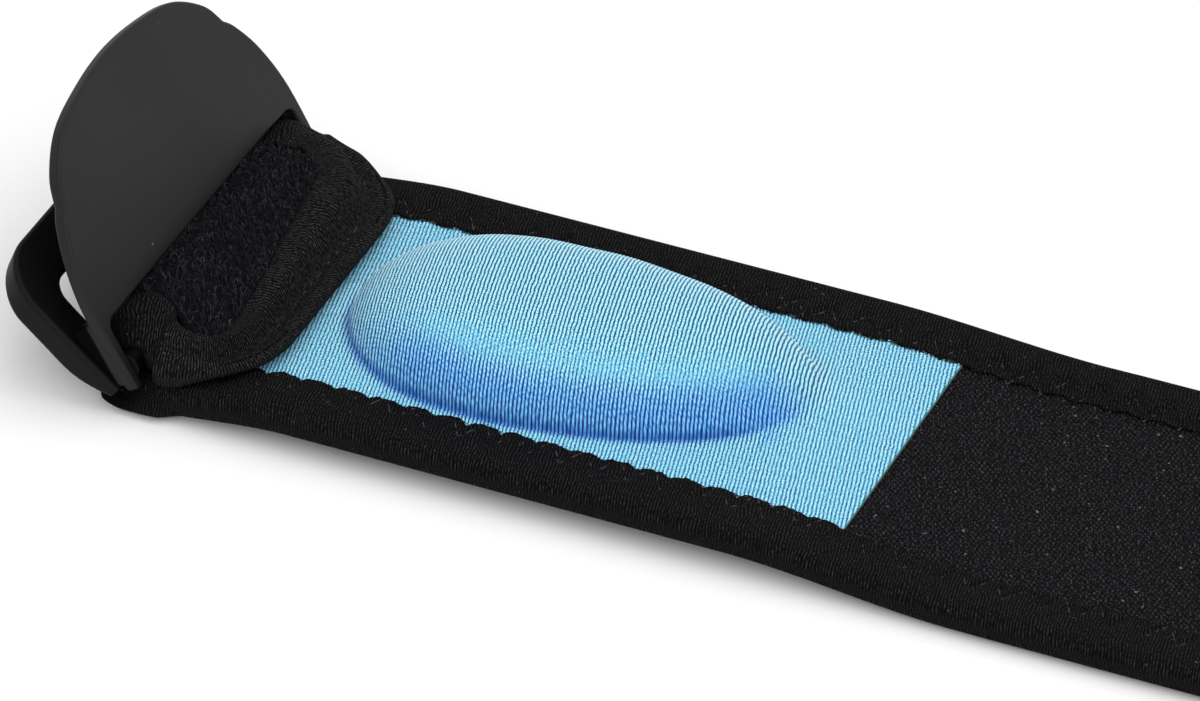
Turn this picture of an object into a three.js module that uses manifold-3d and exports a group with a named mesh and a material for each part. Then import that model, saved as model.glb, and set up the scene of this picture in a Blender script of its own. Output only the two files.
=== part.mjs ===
// Tennis elbow support: a padded strap with a moulded buckle, lying with its skin side up.
// Millimetres, +Z up. X runs along the strap from the buckle to the free end, and Y across it.
// The origin is on the surface that the strap lies on, under the middle of the whole length.
import * as THREE from "three";
import { mergeVertices } from "three/addons/utils/BufferGeometryUtils.js";
import Module from "manifold-3d";

// Layers of the strap, through its thickness
const GAP = 0.2;
const CORE_THICK = 2.4;
const CLOTH_THICK = 1.0;
const CORE_HALF = CORE_THICK / 2;
const LAYER_IN = CORE_HALF + GAP;
const LAYER_OUT = LAYER_IN + CLOTH_THICK;
const STRAP_THICK = 2 * LAYER_OUT;

// The buckle's round bar, and the strap's fold round it
const BAR_RADIUS = 2.0;
const BAR_CLEARANCE = 0.3;
const FOLD_RADIUS = BAR_RADIUS + BAR_CLEARANCE + LAYER_OUT;
const FOLD_ARC = Math.PI * FOLD_RADIUS;

// Lengths along the strap, from the bar to the free end, and back along the flap
const STRAP_RUN = 290;
const FLAP_RUN = 20;
const BUCKLE_REACH = 21.3;
const BAR_X = BUCKLE_REACH - (STRAP_RUN + BUCKLE_REACH) / 2;
const BAR_Z = LAYER_OUT + FOLD_RADIUS;
const FLAP_END = -(FOLD_ARC + FLAP_RUN);

// The strap's half width: along is measured from the bar, and is negative round the fold and flap
const WIDTHS = [
  { along: FLAP_END, half: 31.4 },
  { along: -FOLD_ARC - 9, half: 31.4 },
  { along: -FOLD_ARC, half: 29.2 },
  { along: -8, half: 29.2 },
  { along: -2, half: 29.4 },
  { along: 3, half: 30.7 },
  { along: 8, half: 32.1 },
  { along: 95, half: 32.1 },
  { along: 140, half: 32.8 },
  { along: 180, half: 32.8 },
  { along: 262, half: 25 },
  { along: STRAP_RUN, half: 25 },
];
// The strap is pushed to the far side in the slot: how far its two edges go, and where along it
const SLOT_SHIFT = { near: 0.6, far: 1.2, from: -FOLD_ARC - 12, full: -FOLD_ARC, until: -11, to: 1 };
const FLAP_CORNER = 16;
const FREE_CORNER = 18;
const BINDING_WIDTH = 10;
const BINDING_ROUND = 0.8;
const BINDING_ARM = [3.6, 6.8, BINDING_WIDTH];

// The strap's low arch under the pad: its rise, and where it goes up and comes down
const ARCH = { rise: 2.2, from: 1, up: 26, down: 96, to: 132 };

// The flap stands over the strap beside the fold, puffed up, with its two sides drooping
const FLAP_SETTLE = 18;
const FLAP_PUFF = 1.2;
const FLAP_DROOP = 3.2;
const DROOP = { full: 7, gone: 18 };

// The oval pad and the cloth over it, in the strap's own plane: the oval is fuller on its near side
const PAD = {
  along: 59.4,
  across: 2.5,
  halfLong: 36.2,
  halfNear: 22.2,
  halfFar: 16.5,
  tilt: 4.5,
  height: 11,
};
const PAD_SQUARENESS = 2.2;

// How much the pad narrows and falls from its middle to its tip, as parts of its width and height
const PAD_TAPER = { wide: 0.12, high: 0.15 };
const PAD_FOOT = 0.4;
const COVER = { from: 11, to: 111.2, wall: CLOTH_THICK + 0.1 };
const DOME_RINGS = [0.3, 0.5, 0.66, 0.79, 0.89, 0.96, 1];
const SKIRT_RINGS = [0.34, 0.67, 1];
const DOME_SIDES = { long: 20, short: 6 };
const CORNER_TRIES = 12;

// The hook patch under the free end
const HOOK = { from: 240, to: 276, half: 13.5, corner: 6 };

// The buckle's guard plate, tilted up from the bar: up is measured along the plate from the bar
const PLATE_TILT = 60.7;
const PLATE_THICK = 2.2;
const PLATE_BEVEL = 0.5;
const PLATE_KINK = 5;
const PLATE_EDGE = [
  { up: -3.4, across: 32.5 },
  { up: -2.4, across: 32.8 },
  { up: 10, across: 33.1 },
  { up: 18, across: 31.5 },
  { up: 23.5, across: 28.8 },
  { up: 25.8, across: 26.8 },
  { up: 30, across: 24.4 },
  { up: 34.4, across: 18.2 },
  { up: 36.5, across: 9.3 },
  { up: 37.3, across: 0 },
];
const SLOT = { top: 7.7, half: 31, corner: 3, foot: 31, footTop: 0 };

// The buckle's loop, tilted less: out is measured along the loop from the bar, and low down from the bar
const LOOP_TILT = 42;
const LOOP_HALF = 34.2;
const LOOP_CORNER = 8;
const LOOP_END = 24.2;
const LOOP_BACK = -5;
const LOOP_SECTION = [
  { out: -1.5, low: -2.1 },
  { out: 23.2, low: -2.1 },
  { out: 24, low: -2.7 },
  { out: LOOP_END, low: -3.8 },
  { out: 23.4, low: -5.8 },
  { out: 21.4, low: -6.8 },
  { out: 6.5, low: -6.8 },
  { out: 3, low: -6.1 },
  { out: 0, low: -5 },
  { out: -1.5, low: -4 },
];
const WINDOW = { top: 15.8, half: 27.8, corner: 3, foot: 30.9, footTop: 7.4 };
const CHEEK = [
  { up: -2.2, front: 0.9 },
  { up: 9, front: -0.9 },
  { up: 8.4, front: -4.7 },
  { up: -1.6, front: -3.6 },
];
const CHEEK_HALF = 33.2;

// How finely the curves are faceted: the longest facet along each stretch, and counts round the bends
const FACET = { flap: 2, rise: 4, top: 20, fall: 5, run: 16, least: 0.5 };
const FOLD_FACETS = 12;
const LAYER_CORNER_FACETS = 5;
const EDGE_CORNER_FACETS = 8;
const BAR_FACETS = 16;
const CURVE_FACETS = 6;
const CLOSEST = 0.15;
const WELD = 1e-4;

// Cutting shapes reach this far through and past what they cut, and the bar this far into the legs
const CUT = 20;
const BAR_ROOT = 1;

// The core's middle strip, as a part of its width between the binding's arms
const CORE_CENTRE = 0.4;

const wasm = await Module();
wasm.setup();

const radians = THREE.MathUtils.degToRad;
const smooth = (x, from, to) => THREE.MathUtils.smoothstep(x, from, to);

// A column of a table at a place along it, eased from each row to the next
function easedRow(table, key, value, at) {
  const next = table.findIndex((row) => row[key] >= at);
  if (next === 0) return table[0][value];
  if (next < 0) return table[table.length - 1][value];
  const [a, b] = [table[next - 1], table[next]];
  return a[value] + (b[value] - a[value]) * smooth(at, a[key], b[key]);
}

const halfWidth = (s) => easedRow(WIDTHS, "along", "half", s);

// How far the strap's middle layer is above the surface, at a distance from the bar
function runHeight(s) {
  const arch = smooth(s, ARCH.from, ARCH.up) * (1 - smooth(s, ARCH.down, ARCH.to));
  return LAYER_OUT + ARCH.rise * arch;
}

// The flap's middle layer: it comes down from the fold's top and settles on the strap
function flapHeight(d) {
  const settled = runHeight(d) + STRAP_THICK + GAP;
  const top = BAR_Z + FOLD_RADIUS - (LAYER_OUT + STRAP_THICK + GAP);
  const puff = FLAP_PUFF * Math.sin(Math.PI * Math.min(1, d / FLAP_SETTLE)) ** 2;
  return settled + top * (1 - smooth(d, 0, FLAP_SETTLE)) + puff;
}

// A point of the strap's middle layer in the XZ plane, and the direction to its skin side
function pathPoint(s) {
  const step = 0.05;
  if (s < 0 && s >= -FOLD_ARC) {
    const turn = s / FOLD_RADIUS - Math.PI / 2;
    const out = new THREE.Vector2(Math.cos(turn), Math.sin(turn));
    const centre = new THREE.Vector2(BAR_X, BAR_Z);
    return { at: centre.addScaledVector(out, FOLD_RADIUS), skin: out.negate() };
  }
  const d = s < 0 ? -s - FOLD_ARC : s;
  const height = s < 0 ? flapHeight : runHeight;
  const slope = (height(d + step) - height(Math.max(0, d - step))) / (2 * step);
  const skin = new THREE.Vector2(-slope, 1).normalize();
  if (s < 0) skin.negate();
  return { at: new THREE.Vector2(BAR_X + d, height(d)), skin };
}

// How far to the far side a place on the strap lies
function sideways(s, v) {
  const { near, far, from, full, until, to } = SLOT_SHIFT;
  const nearness = (1 - v / halfWidth(s)) / 2;
  return (far + (near - far) * nearness) * smooth(s, from, full) * (1 - smooth(s, until, to));
}

// Lays a point of the flat strap in space: s along it, v across, n from its middle layer to the skin side
function lay(s, v, n) {
  const { at, skin } = pathPoint(s);
  const d = -s - FOLD_ARC;
  const sag = s < -FOLD_ARC ? smooth(d, 0, DROOP.full) * (1 - smooth(d, DROOP.full, DROOP.gone)) : 0;
  const droop = FLAP_DROOP * sag * (Math.abs(v) / halfWidth(s)) ** 4;
  return new THREE.Vector3(at.x + skin.x * n, v + sideways(s, v), at.y + skin.y * n - droop);
}

// Places along the strap where its facets meet, closer together where it bends
function stations(from, to) {
  const all = [];
  const fill = (a, b, step) => {
    const count = Math.round((b - a) / step);
    for (let i = 0; i < count; i++) all.push(a + ((b - a) * i) / count);
  };
  fill(FLAP_END, -FOLD_ARC, FACET.flap);
  fill(-FOLD_ARC, 0, FOLD_ARC / FOLD_FACETS);
  fill(0, ARCH.up, FACET.rise);
  fill(ARCH.up, ARCH.down, FACET.top);
  fill(ARCH.down, ARCH.to, FACET.fall);
  fill(ARCH.to, STRAP_RUN, FACET.run);
  all.push(STRAP_RUN);
  return [from, ...all.filter((s) => s > from + FACET.least && s < to - FACET.least), to];
}

// Places through the rounded corners at an end of a layer, from the end inwards
function cornerSteps(radius) {
  const steps = [];
  for (let i = 0; i < LAYER_CORNER_FACETS; i++) {
    const turn = (i / LAYER_CORNER_FACETS) * (Math.PI / 2);
    steps.push(radius * (1 - Math.cos(turn)));
  }
  return steps;
}

// A closed surface from rings of points that are joined in turn, with flat ends or back to the first ring
function loftGeometry(rings, closed) {
  const size = rings[0].length;
  const position = rings.flat().flatMap((p) => p.toArray());
  const index = [];
  const last = closed ? rings.length : rings.length - 1;
  for (let i = 0; i < last; i++) {
    const [a, b] = [i * size, ((i + 1) % rings.length) * size];
    for (let j = 0; j < size; j++) {
      const k = (j + 1) % size;
      index.push(a + j, b + j, b + k, a + j, b + k, a + k);
    }
  }
  const capEnd = (first, flip) => {
    for (let j = 0; j + 1 < size / 2; j++) {
      const [p, q, r, t] = [j, j + 1, size - 2 - j, size - 1 - j].map((k) => first + k);
      index.push(...(flip ? [p, r, q, p, t, r] : [p, q, r, p, r, t]));
    }
  };
  if (!closed) {
    capEnd(0, false);
    capEnd((rings.length - 1) * size, true);
  }
  const geometry = new THREE.BufferGeometry();
  geometry.setAttribute("position", new THREE.Float32BufferAttribute(position, 3));
  geometry.setIndex(index);
  return facingOut(geometry);
}

// Turns a closed surface's faces outwards
function facingOut(geometry) {
  const index = geometry.index.array;
  const position = geometry.attributes.position;
  const [a, b, c] = [new THREE.Vector3(), new THREE.Vector3(), new THREE.Vector3()];
  let volume = 0;
  for (let i = 0; i < index.length; i += 3) {
    a.fromBufferAttribute(position, index[i]);
    b.fromBufferAttribute(position, index[i + 1]);
    c.fromBufferAttribute(position, index[i + 2]);
    volume += a.dot(b.cross(c));
  }
  if (volume < 0) {
    for (let i = 0; i < index.length; i += 3) {
      [index[i + 1], index[i + 2]] = [index[i + 2], index[i + 1]];
    }
  }
  geometry.computeVertexNormals();
  return geometry;
}

// A layer of the strap between two heights, with rounded ends: across gives the places over its width
function layerGeometry({ from, to, half, cornerFrom, cornerTo, low, high, across }) {
  const narrow = (distance, radius) => {
    if (distance >= radius) return 0;
    return radius - Math.sqrt(radius ** 2 - (radius - distance) ** 2);
  };
  const places = new Set(stations(from, to));
  for (const step of cornerSteps(cornerFrom)) places.add(from + step);
  for (const step of cornerSteps(cornerTo)) places.add(to - step);
  const sorted = [...places].sort((a, b) => a - b);
  const kept = sorted.filter((s, i) => i === 0 || s - sorted[i - 1] > CLOSEST);
  const rings = kept.map((s) => {
    const w = half(s) - narrow(s - from, cornerFrom) - narrow(to - s, cornerTo);
    const over = across(w);
    const top = over.map((v) => lay(s, v, high));
    const under = over.map((v) => lay(s, v, low)).reverse();
    return [...top, ...under];
  });
  return loftGeometry(rings, false);
}

// The foam band: full length, folded round the bar, its edge inside the binding
function coreGeometry() {
  const inset = CLOTH_THICK + GAP;
  const arm = BINDING_WIDTH - inset;
  const across = (w) => {
    const inner = Math.max(w - arm, w / 2);
    const mid = (w + inner) / 2;
    const centre = inner * CORE_CENTRE;
    return [-w, -mid, -inner, -centre, centre, inner, mid, w];
  };
  return layerGeometry({
    from: FLAP_END + inset,
    to: STRAP_RUN - inset,
    half: (s) => halfWidth(s) - inset,
    cornerFrom: FLAP_CORNER - inset,
    cornerTo: FREE_CORNER - inset,
    low: -CORE_HALF,
    high: CORE_HALF,
    across,
  });
}

// The loop pile on the outer side, between the binding's edges, up to the hook patch
function pileGeometry() {
  const inset = BINDING_WIDTH + GAP;
  return layerGeometry({
    from: FLAP_END + inset,
    to: HOOK.from - GAP,
    half: (s) => halfWidth(s) - inset,
    cornerFrom: FLAP_CORNER - inset,
    cornerTo: 0,
    low: -LAYER_OUT,
    high: -LAYER_IN,
    across: (w) => [-w, -w / 2, 0, w / 2, w],
  });
}

// The hook patch, in line with the pile at the free end
function hookGeometry() {
  return layerGeometry({
    from: HOOK.from + GAP,
    to: HOOK.to,
    half: () => HOOK.half,
    cornerFrom: 0,
    cornerTo: HOOK.corner,
    low: -LAYER_OUT,
    high: -LAYER_IN,
    across: (w) => [-w, 0, w],
  });
}

// The strap's edge as one closed line, with the direction out of the strap at each point
function edgeLine() {
  const line = [];
  const corner = (s, v, radius, from, to) => {
    for (let i = 0; i <= EDGE_CORNER_FACETS; i++) {
      const turn = radians(from + ((to - from) * i) / EDGE_CORNER_FACETS);
      const out = { s: Math.cos(turn), v: Math.sin(turn) };
      line.push({ s: s + radius * out.s, v: v + radius * out.v, out });
    }
  };
  const side = (sign) => {
    const places = stations(FLAP_END + FLAP_CORNER, STRAP_RUN - FREE_CORNER).slice(1, -1);
    if (sign > 0) places.reverse();
    for (const s of places) line.push({ s, v: sign * halfWidth(s), out: { s: 0, v: sign } });
  };
  const [free, flap] = [STRAP_RUN - FREE_CORNER, FLAP_END + FLAP_CORNER];
  const [freeV, flapV] = [halfWidth(STRAP_RUN) - FREE_CORNER, halfWidth(FLAP_END) - FLAP_CORNER];
  side(-1);
  corner(free, -freeV, FREE_CORNER, -90, 0);
  corner(free, freeV, FREE_CORNER, 0, 90);
  side(1);
  corner(flap, flapV, FLAP_CORNER, 90, 180);
  corner(flap, -flapV, FLAP_CORNER, 180, 270);
  return line;
}

// The binding: a channel of tape round the strap's edge, with an arm on each face
function bindingGeometry() {
  const arm = [
    { inset: 0, n: LAYER_OUT - BINDING_ROUND },
    { inset: BINDING_ROUND, n: LAYER_OUT },
    ...BINDING_ARM.map((inset) => ({ inset, n: LAYER_OUT })),
    ...BINDING_ARM.toReversed().map((inset) => ({ inset, n: LAYER_IN })),
    { inset: CLOTH_THICK, n: LAYER_IN },
  ];
  const mirrored = arm.map(({ inset, n }) => ({ inset, n: -n })).reverse();
  const section = [...arm, ...mirrored];
  const rings = edgeLine().map(({ s, v, out }) =>
    section.map(({ inset, n }) => lay(s - out.s * inset, v - out.v * inset, n)),
  );
  return loftGeometry(rings, true);
}

// A power of a number's size, with the number's sign
const signedPower = (x, power) => Math.sign(x) * Math.abs(x) ** power;

// How far along the pad's long axis a place on its oval is, from -1 to 1 at the oval's edge
const padLong = (angle, ring) => ring * signedPower(Math.cos(angle), 2 / PAD_SQUARENESS);

// The pad's half width on the side of its long axis that a place is on
const padHalf = (y, long) => (y < 0 ? PAD.halfNear : PAD.halfFar) * (1 - PAD_TAPER.wide * long);

// Directions round the pad that also meet the corners of the cover's rectangle
function domeAngles(half) {
  const angleTo = (s, v) => {
    const flat = new THREE.Vector2(s - PAD.along, v - PAD.across);
    flat.rotateAround(new THREE.Vector2(), -radians(PAD.tilt));
    const power = PAD_SQUARENESS / 2;
    const x = signedPower(flat.x / PAD.halfLong, power);
    let angle = Math.atan2(flat.y, flat.x);
    for (let i = 0; i < CORNER_TRIES; i++) {
      angle = Math.atan2(signedPower(flat.y / padHalf(flat.y, padLong(angle, 1)), power), x);
    }
    return angle;
  };
  const corners = [
    angleTo(COVER.to, -half),
    angleTo(COVER.to, half),
    angleTo(COVER.from, half),
    angleTo(COVER.from, -half),
  ];
  const angles = [];
  corners.forEach((start, i) => {
    const end = corners[(i + 1) % corners.length];
    const sweep = THREE.MathUtils.euclideanModulo(end - start, 2 * Math.PI);
    const count = i % 2 ? DOME_SIDES.long : DOME_SIDES.short;
    for (let k = 0; k < count; k++) angles.push(start + (sweep * k) / count);
  });
  return angles;
}

// The pad's outline at an angle, as a place on the strap, on an oval that is smaller all round by inset
function ovalPoint(angle, ring, inset) {
  const long = padLong(angle, ring);
  const wide = ring * signedPower(Math.sin(angle), 2 / PAD_SQUARENESS);
  const p = new THREE.Vector2((PAD.halfLong - inset) * long, (padHalf(wide, long) - inset) * wide);
  p.rotateAround(new THREE.Vector2(), radians(PAD.tilt));
  return { s: PAD.along + p.x, v: PAD.across + p.y };
}

// The pad's rounded height, from 1 at its middle to 0 at its edge, with a full shoulder and a steep side
function domeHeight(angle, ring) {
  return Math.sqrt(Math.max(0, 1 - ring ** 3)) * (1 - PAD_TAPER.high * padLong(angle, ring));
}

// Rings of points over the dome, from its middle outwards
function domeRings(angles, inset, base, height) {
  return DOME_RINGS.map((ring) =>
    angles.map((angle) => {
      const { s, v } = ovalPoint(angle, ring, inset);
      return lay(s, v, base + height * domeHeight(angle, ring));
    }),
  );
}

// Rings of points from the oval's edge out to the cover's rectangle
function skirtRings(angles, half, inset, n) {
  const reach = (value, low, high) => (value > 0 ? high / value : value < 0 ? low / value : Infinity);
  return SKIRT_RINGS.map((part) =>
    angles.map((angle) => {
      const edge = ovalPoint(angle, 1, inset);
      const [ds, dv] = [edge.s - PAD.along, edge.v - PAD.across];
      const out = Math.min(
        reach(ds, COVER.from - PAD.along, COVER.to - PAD.along),
        reach(dv, -half - PAD.across, half - PAD.across),
      );
      const far = 1 + (out - 1) * part;
      return lay(PAD.along + ds * far, PAD.across + dv * far, n);
    }),
  );
}

// A closed shell from a stack of rings over the top and a stack under it, each with a middle point
function shellGeometry(topMiddle, topRings, underMiddle, underRings) {
  const count = topRings[0].length;
  const points = [topMiddle, ...topRings.flat(), underMiddle, ...underRings.flat()];
  const index = [];
  const fan = (middle, first) => {
    for (let j = 0; j < count; j++) index.push(middle, first + j, first + ((j + 1) % count));
  };
  const band = (a, b) => {
    for (let j = 0; j < count; j++) {
      const k = (j + 1) % count;
      index.push(a + j, b + j, b + k, a + j, b + k, a + k);
    }
  };
  fan(0, 1);
  for (let i = 1; i < topRings.length; i++) band(1 + (i - 1) * count, 1 + i * count);
  const underStart = 1 + topRings.length * count;
  band(1 + (topRings.length - 1) * count, underStart + 1 + (underRings.length - 1) * count);
  for (let i = underRings.length - 1; i > 0; i--) {
    band(underStart + 1 + i * count, underStart + 1 + (i - 1) * count);
  }
  for (let j = 0; j < count; j++) {
    index.push(underStart, underStart + 1 + ((j + 1) % count), underStart + 1 + j);
  }
  const position = points.flatMap((p) => p.toArray());
  const geometry = new THREE.BufferGeometry();
  geometry.setAttribute("position", new THREE.Float32BufferAttribute(position, 3));
  geometry.setIndex(index);
  return facingOut(geometry);
}

// The stretch cloth: a sheet under the binding's inner edges, domed over the pad
function coverGeometry() {
  const half = halfWidth(PAD.along) - BINDING_WIDTH - GAP;
  const angles = domeAngles(half);
  const middle = (n) => lay(PAD.along, PAD.across, n);
  const rings = (inset, base) => [
    ...domeRings(angles, inset, base, PAD.height),
    ...skirtRings(angles, half, inset, base),
  ];
  return shellGeometry(
    middle(LAYER_OUT + PAD.height),
    rings(0, LAYER_OUT),
    middle(LAYER_IN + PAD.height),
    rings(COVER.wall, LAYER_IN),
  );
}

// The pad: a flat-bottomed oval dome, just inside the cloth
function padGeometry() {
  const half = halfWidth(PAD.along) - BINDING_WIDTH - GAP;
  const angles = domeAngles(half);
  const inset = COVER.wall + GAP;
  const rings = domeRings(angles, inset, LAYER_IN, PAD.height - GAP);
  const top = [...rings.slice(0, -1), rings.at(-1).map((p) => p.clone().setZ(p.z + PAD_FOOT))];
  const middle = (n) => lay(PAD.along, PAD.across, n);
  return shellGeometry(middle(LAYER_IN + PAD.height - GAP), top, middle(LAYER_IN), [rings.at(-1)]);
}

// A closed geometry as a solid that can be joined and cut
function solidOf(geometry) {
  const bare = geometry.index ? geometry.toNonIndexed() : geometry.clone();
  bare.deleteAttribute("normal");
  bare.deleteAttribute("uv");
  const merged = mergeVertices(bare, WELD);
  return new wasm.Manifold(
    new wasm.Mesh({
      numProp: 3,
      vertProperties: merged.attributes.position.array,
      triVerts: new Uint32Array(merged.index.array),
    }),
  );
}

// A solid as a geometry again
function geometryOf(solid) {
  const mesh = solid.getMesh();
  const geometry = new THREE.BufferGeometry();
  geometry.setAttribute("position", new THREE.Float32BufferAttribute(mesh.vertProperties, 3));
  geometry.setIndex(new THREE.BufferAttribute(mesh.triVerts, 1));
  geometry.computeVertexNormals();
  return geometry;
}

// Stands a shape drawn flat (x across, y along, z through) on the bar, tilted up by an angle
function tiltedFromBar(degrees) {
  const turn = radians(degrees);
  const along = new THREE.Vector3(-Math.cos(turn), 0, Math.sin(turn));
  const through = new THREE.Vector3(Math.sin(turn), 0, Math.cos(turn));
  const across = new THREE.Vector3().crossVectors(along, through);
  return new THREE.Matrix4().makeBasis(across, along, through).setPosition(BAR_X, 0, BAR_Z);
}

// A slab from a flat shape, from its lowest face up, with bevelled rims
function slab(shape, thick, lowest, bevel) {
  const geometry = new THREE.ExtrudeGeometry(shape, {
    depth: thick - 2 * bevel,
    curveSegments: CURVE_FACETS,
    bevelEnabled: bevel > 0,
    bevelThickness: bevel,
    bevelSize: bevel,
    bevelOffset: -bevel,
    bevelSegments: 1,
  });
  return geometry.translate(0, 0, lowest + bevel);
}

// A notch that is open towards the bar, for cutting the plate's slot and the loop's window with its wider foot
function notchShape({ top, half, corner, foot, footTop }) {
  const shape = new THREE.Shape();
  shape.moveTo(-foot, -CUT);
  shape.lineTo(foot, -CUT);
  shape.lineTo(foot, footTop);
  if (foot > half) shape.lineTo(half, footTop);
  shape.absarc(half - corner, top - corner, corner, 0, Math.PI / 2);
  shape.absarc(corner - half, top - corner, corner, Math.PI / 2, Math.PI);
  if (foot > half) shape.lineTo(-half, footTop);
  shape.lineTo(-foot, footTop);
  return shape;
}

// The guard plate: a rounded shield on two legs beside the slot
function plateSolid() {
  const right = PLATE_EDGE.map(({ up, across }) => new THREE.Vector2(across, up));
  const left = right.slice(0, -1).map(({ x, y }) => new THREE.Vector2(-x, y)).reverse();
  const shape = new THREE.Shape();
  shape.moveTo(right[0].x, right[0].y);
  shape.lineTo(right[1].x, right[1].y);
  const head = right.length - PLATE_KINK;
  shape.splineThru(right.slice(2, PLATE_KINK + 1));
  shape.splineThru([...right.slice(PLATE_KINK + 1), ...left.slice(0, head - 1)]);
  shape.splineThru(left.slice(head - 1, -1));
  shape.lineTo(left.at(-1).x, left.at(-1).y);
  const plate = slab(shape, PLATE_THICK, -PLATE_THICK / 2, PLATE_BEVEL);
  const slot = slab(notchShape(SLOT), CUT, -CUT / 2, 0);
  const place = tiltedFromBar(PLATE_TILT);
  return solidOf(plate.applyMatrix4(place)).subtract(solidOf(slot.applyMatrix4(place)));
}

// A shape in a tilted side view, run across the whole buckle or one stretch of it
function acrossSolid(points, tilt, from, to) {
  const side = slab(new THREE.Shape(points), to - from, from, 0);
  const turned = new THREE.Matrix4().makeBasis(
    new THREE.Vector3(0, 1, 0),
    new THREE.Vector3(0, 0, 1),
    new THREE.Vector3(1, 0, 0),
  );
  return solidOf(side.applyMatrix4(turned).applyMatrix4(tiltedFromBar(tilt)));
}

// The open loop: its side view run across, trimmed to a plan with round corners and a window
function loopSolid() {
  const points = LOOP_SECTION.map(({ out, low }) => new THREE.Vector2(out, low));
  const body = acrossSolid(points, LOOP_TILT, -LOOP_HALF, LOOP_HALF);
  const plan = new THREE.Shape();
  const inner = LOOP_HALF - LOOP_CORNER;
  const round = LOOP_END - LOOP_CORNER;
  plan.moveTo(-LOOP_HALF, LOOP_BACK);
  plan.lineTo(LOOP_HALF, LOOP_BACK);
  plan.absarc(inner, round, LOOP_CORNER, 0, Math.PI / 2);
  plan.absarc(-inner, round, LOOP_CORNER, Math.PI / 2, Math.PI);
  const place = tiltedFromBar(LOOP_TILT);
  const trim = slab(plan, CUT, -CUT / 2, 0).applyMatrix4(place);
  const window = slab(notchShape(WINDOW), CUT, -CUT / 2, 0).applyMatrix4(place);
  return body.intersect(solidOf(trim)).subtract(solidOf(window));
}

// The buckle: plate, round bar, loop and the two cheeks that join them, in one moulding
function buckleGeometry() {
  const barLength = 2 * (SLOT.half + BAR_ROOT);
  const bar = new THREE.CylinderGeometry(BAR_RADIUS, BAR_RADIUS, barLength, BAR_FACETS);
  bar.translate(BAR_X, 0, BAR_Z);
  let solid = plateSolid().add(loopSolid()).add(solidOf(bar));
  const points = CHEEK.map(({ up, front }) => new THREE.Vector2(up, front)).reverse();
  for (const side of [-1, 1]) {
    const [a, b] = [side * SLOT.half, side * CHEEK_HALF].sort((p, q) => p - q);
    solid = solid.add(acrossSolid(points, PLATE_TILT, a, b));
  }
  return geometryOf(solid);
}

const FINISHES = {
  jersey: { color: 0x1b1b1e, roughness: 0.95, metalness: 0 },
  pile: { color: 0x14141d, roughness: 1.0, metalness: 0 },
  binding: { color: 0x131315, roughness: 0.9, metalness: 0 },
  stretch: { color: 0x5aaede, roughness: 0.75, metalness: 0 },
  foam: { color: 0x8f9296, roughness: 0.95, metalness: 0 },
  moulding: { color: 0x31312f, roughness: 0.55, metalness: 0 },
  hook: { color: 0x101012, roughness: 0.8, metalness: 0 },
};

const PIECES = [
  { name: "strap_core", geometry: coreGeometry(), finish: FINISHES.jersey },
  { name: "pile_face", geometry: pileGeometry(), finish: FINISHES.pile },
  { name: "edge_binding", geometry: bindingGeometry(), finish: FINISHES.binding },
  { name: "pad_cover", geometry: coverGeometry(), finish: FINISHES.stretch },
  { name: "pressure_pad", geometry: padGeometry(), finish: FINISHES.foam },
  { name: "buckle", geometry: buckleGeometry(), finish: FINISHES.moulding },
  { name: "hook_patch", geometry: hookGeometry(), finish: FINISHES.hook },
];

const group = new THREE.Group();
for (const { name, geometry, finish } of PIECES) {
  const mesh = new THREE.Mesh(geometry, new THREE.MeshStandardMaterial(finish));
  mesh.name = name;
  group.add(mesh);
}

export default group;
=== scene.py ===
# Tennis elbow support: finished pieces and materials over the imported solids.
import math
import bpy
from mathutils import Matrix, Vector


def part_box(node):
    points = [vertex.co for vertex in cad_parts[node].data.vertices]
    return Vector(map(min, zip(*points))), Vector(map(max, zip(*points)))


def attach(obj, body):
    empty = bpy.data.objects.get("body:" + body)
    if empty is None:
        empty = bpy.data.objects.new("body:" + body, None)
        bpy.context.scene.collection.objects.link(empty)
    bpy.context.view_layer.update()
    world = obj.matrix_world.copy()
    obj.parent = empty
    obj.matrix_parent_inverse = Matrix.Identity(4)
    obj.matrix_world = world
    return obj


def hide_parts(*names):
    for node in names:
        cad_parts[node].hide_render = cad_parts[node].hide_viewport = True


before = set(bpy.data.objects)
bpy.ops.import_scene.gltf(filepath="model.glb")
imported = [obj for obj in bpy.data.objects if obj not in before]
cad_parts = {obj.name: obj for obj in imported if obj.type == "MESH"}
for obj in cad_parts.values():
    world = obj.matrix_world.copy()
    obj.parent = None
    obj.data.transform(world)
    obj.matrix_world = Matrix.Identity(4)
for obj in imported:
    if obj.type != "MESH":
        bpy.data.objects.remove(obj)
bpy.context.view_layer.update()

from types import SimpleNamespace as Table

import bpy
import numpy as np
from mathutils import Vector

BODY = "root"
SEED = 7

# Sizes are in millimetres and turned into metres where a mesh is made
MM = 0.001

# Layers of the strap, through its thickness, from its middle
GAP = 0.2
CORE_HALF = 1.2
LAYER_IN = 1.4
LAYER_OUT = 2.4
STRAP_THICK = 2 * LAYER_OUT

# The buckle's bar, and the strap's fold round it
BAR_RADIUS = 2.0
FOLD_RADIUS = 4.7
FOLD_ARC = math.pi * FOLD_RADIUS
STRAP_RUN = 290
FLAP_RUN = 20
FREE_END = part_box("edge_binding")[1].x / MM
BAR_X = FREE_END - STRAP_RUN
BAR_Z = LAYER_OUT + FOLD_RADIUS
FLAP_END = -(FOLD_ARC + FLAP_RUN)

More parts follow.
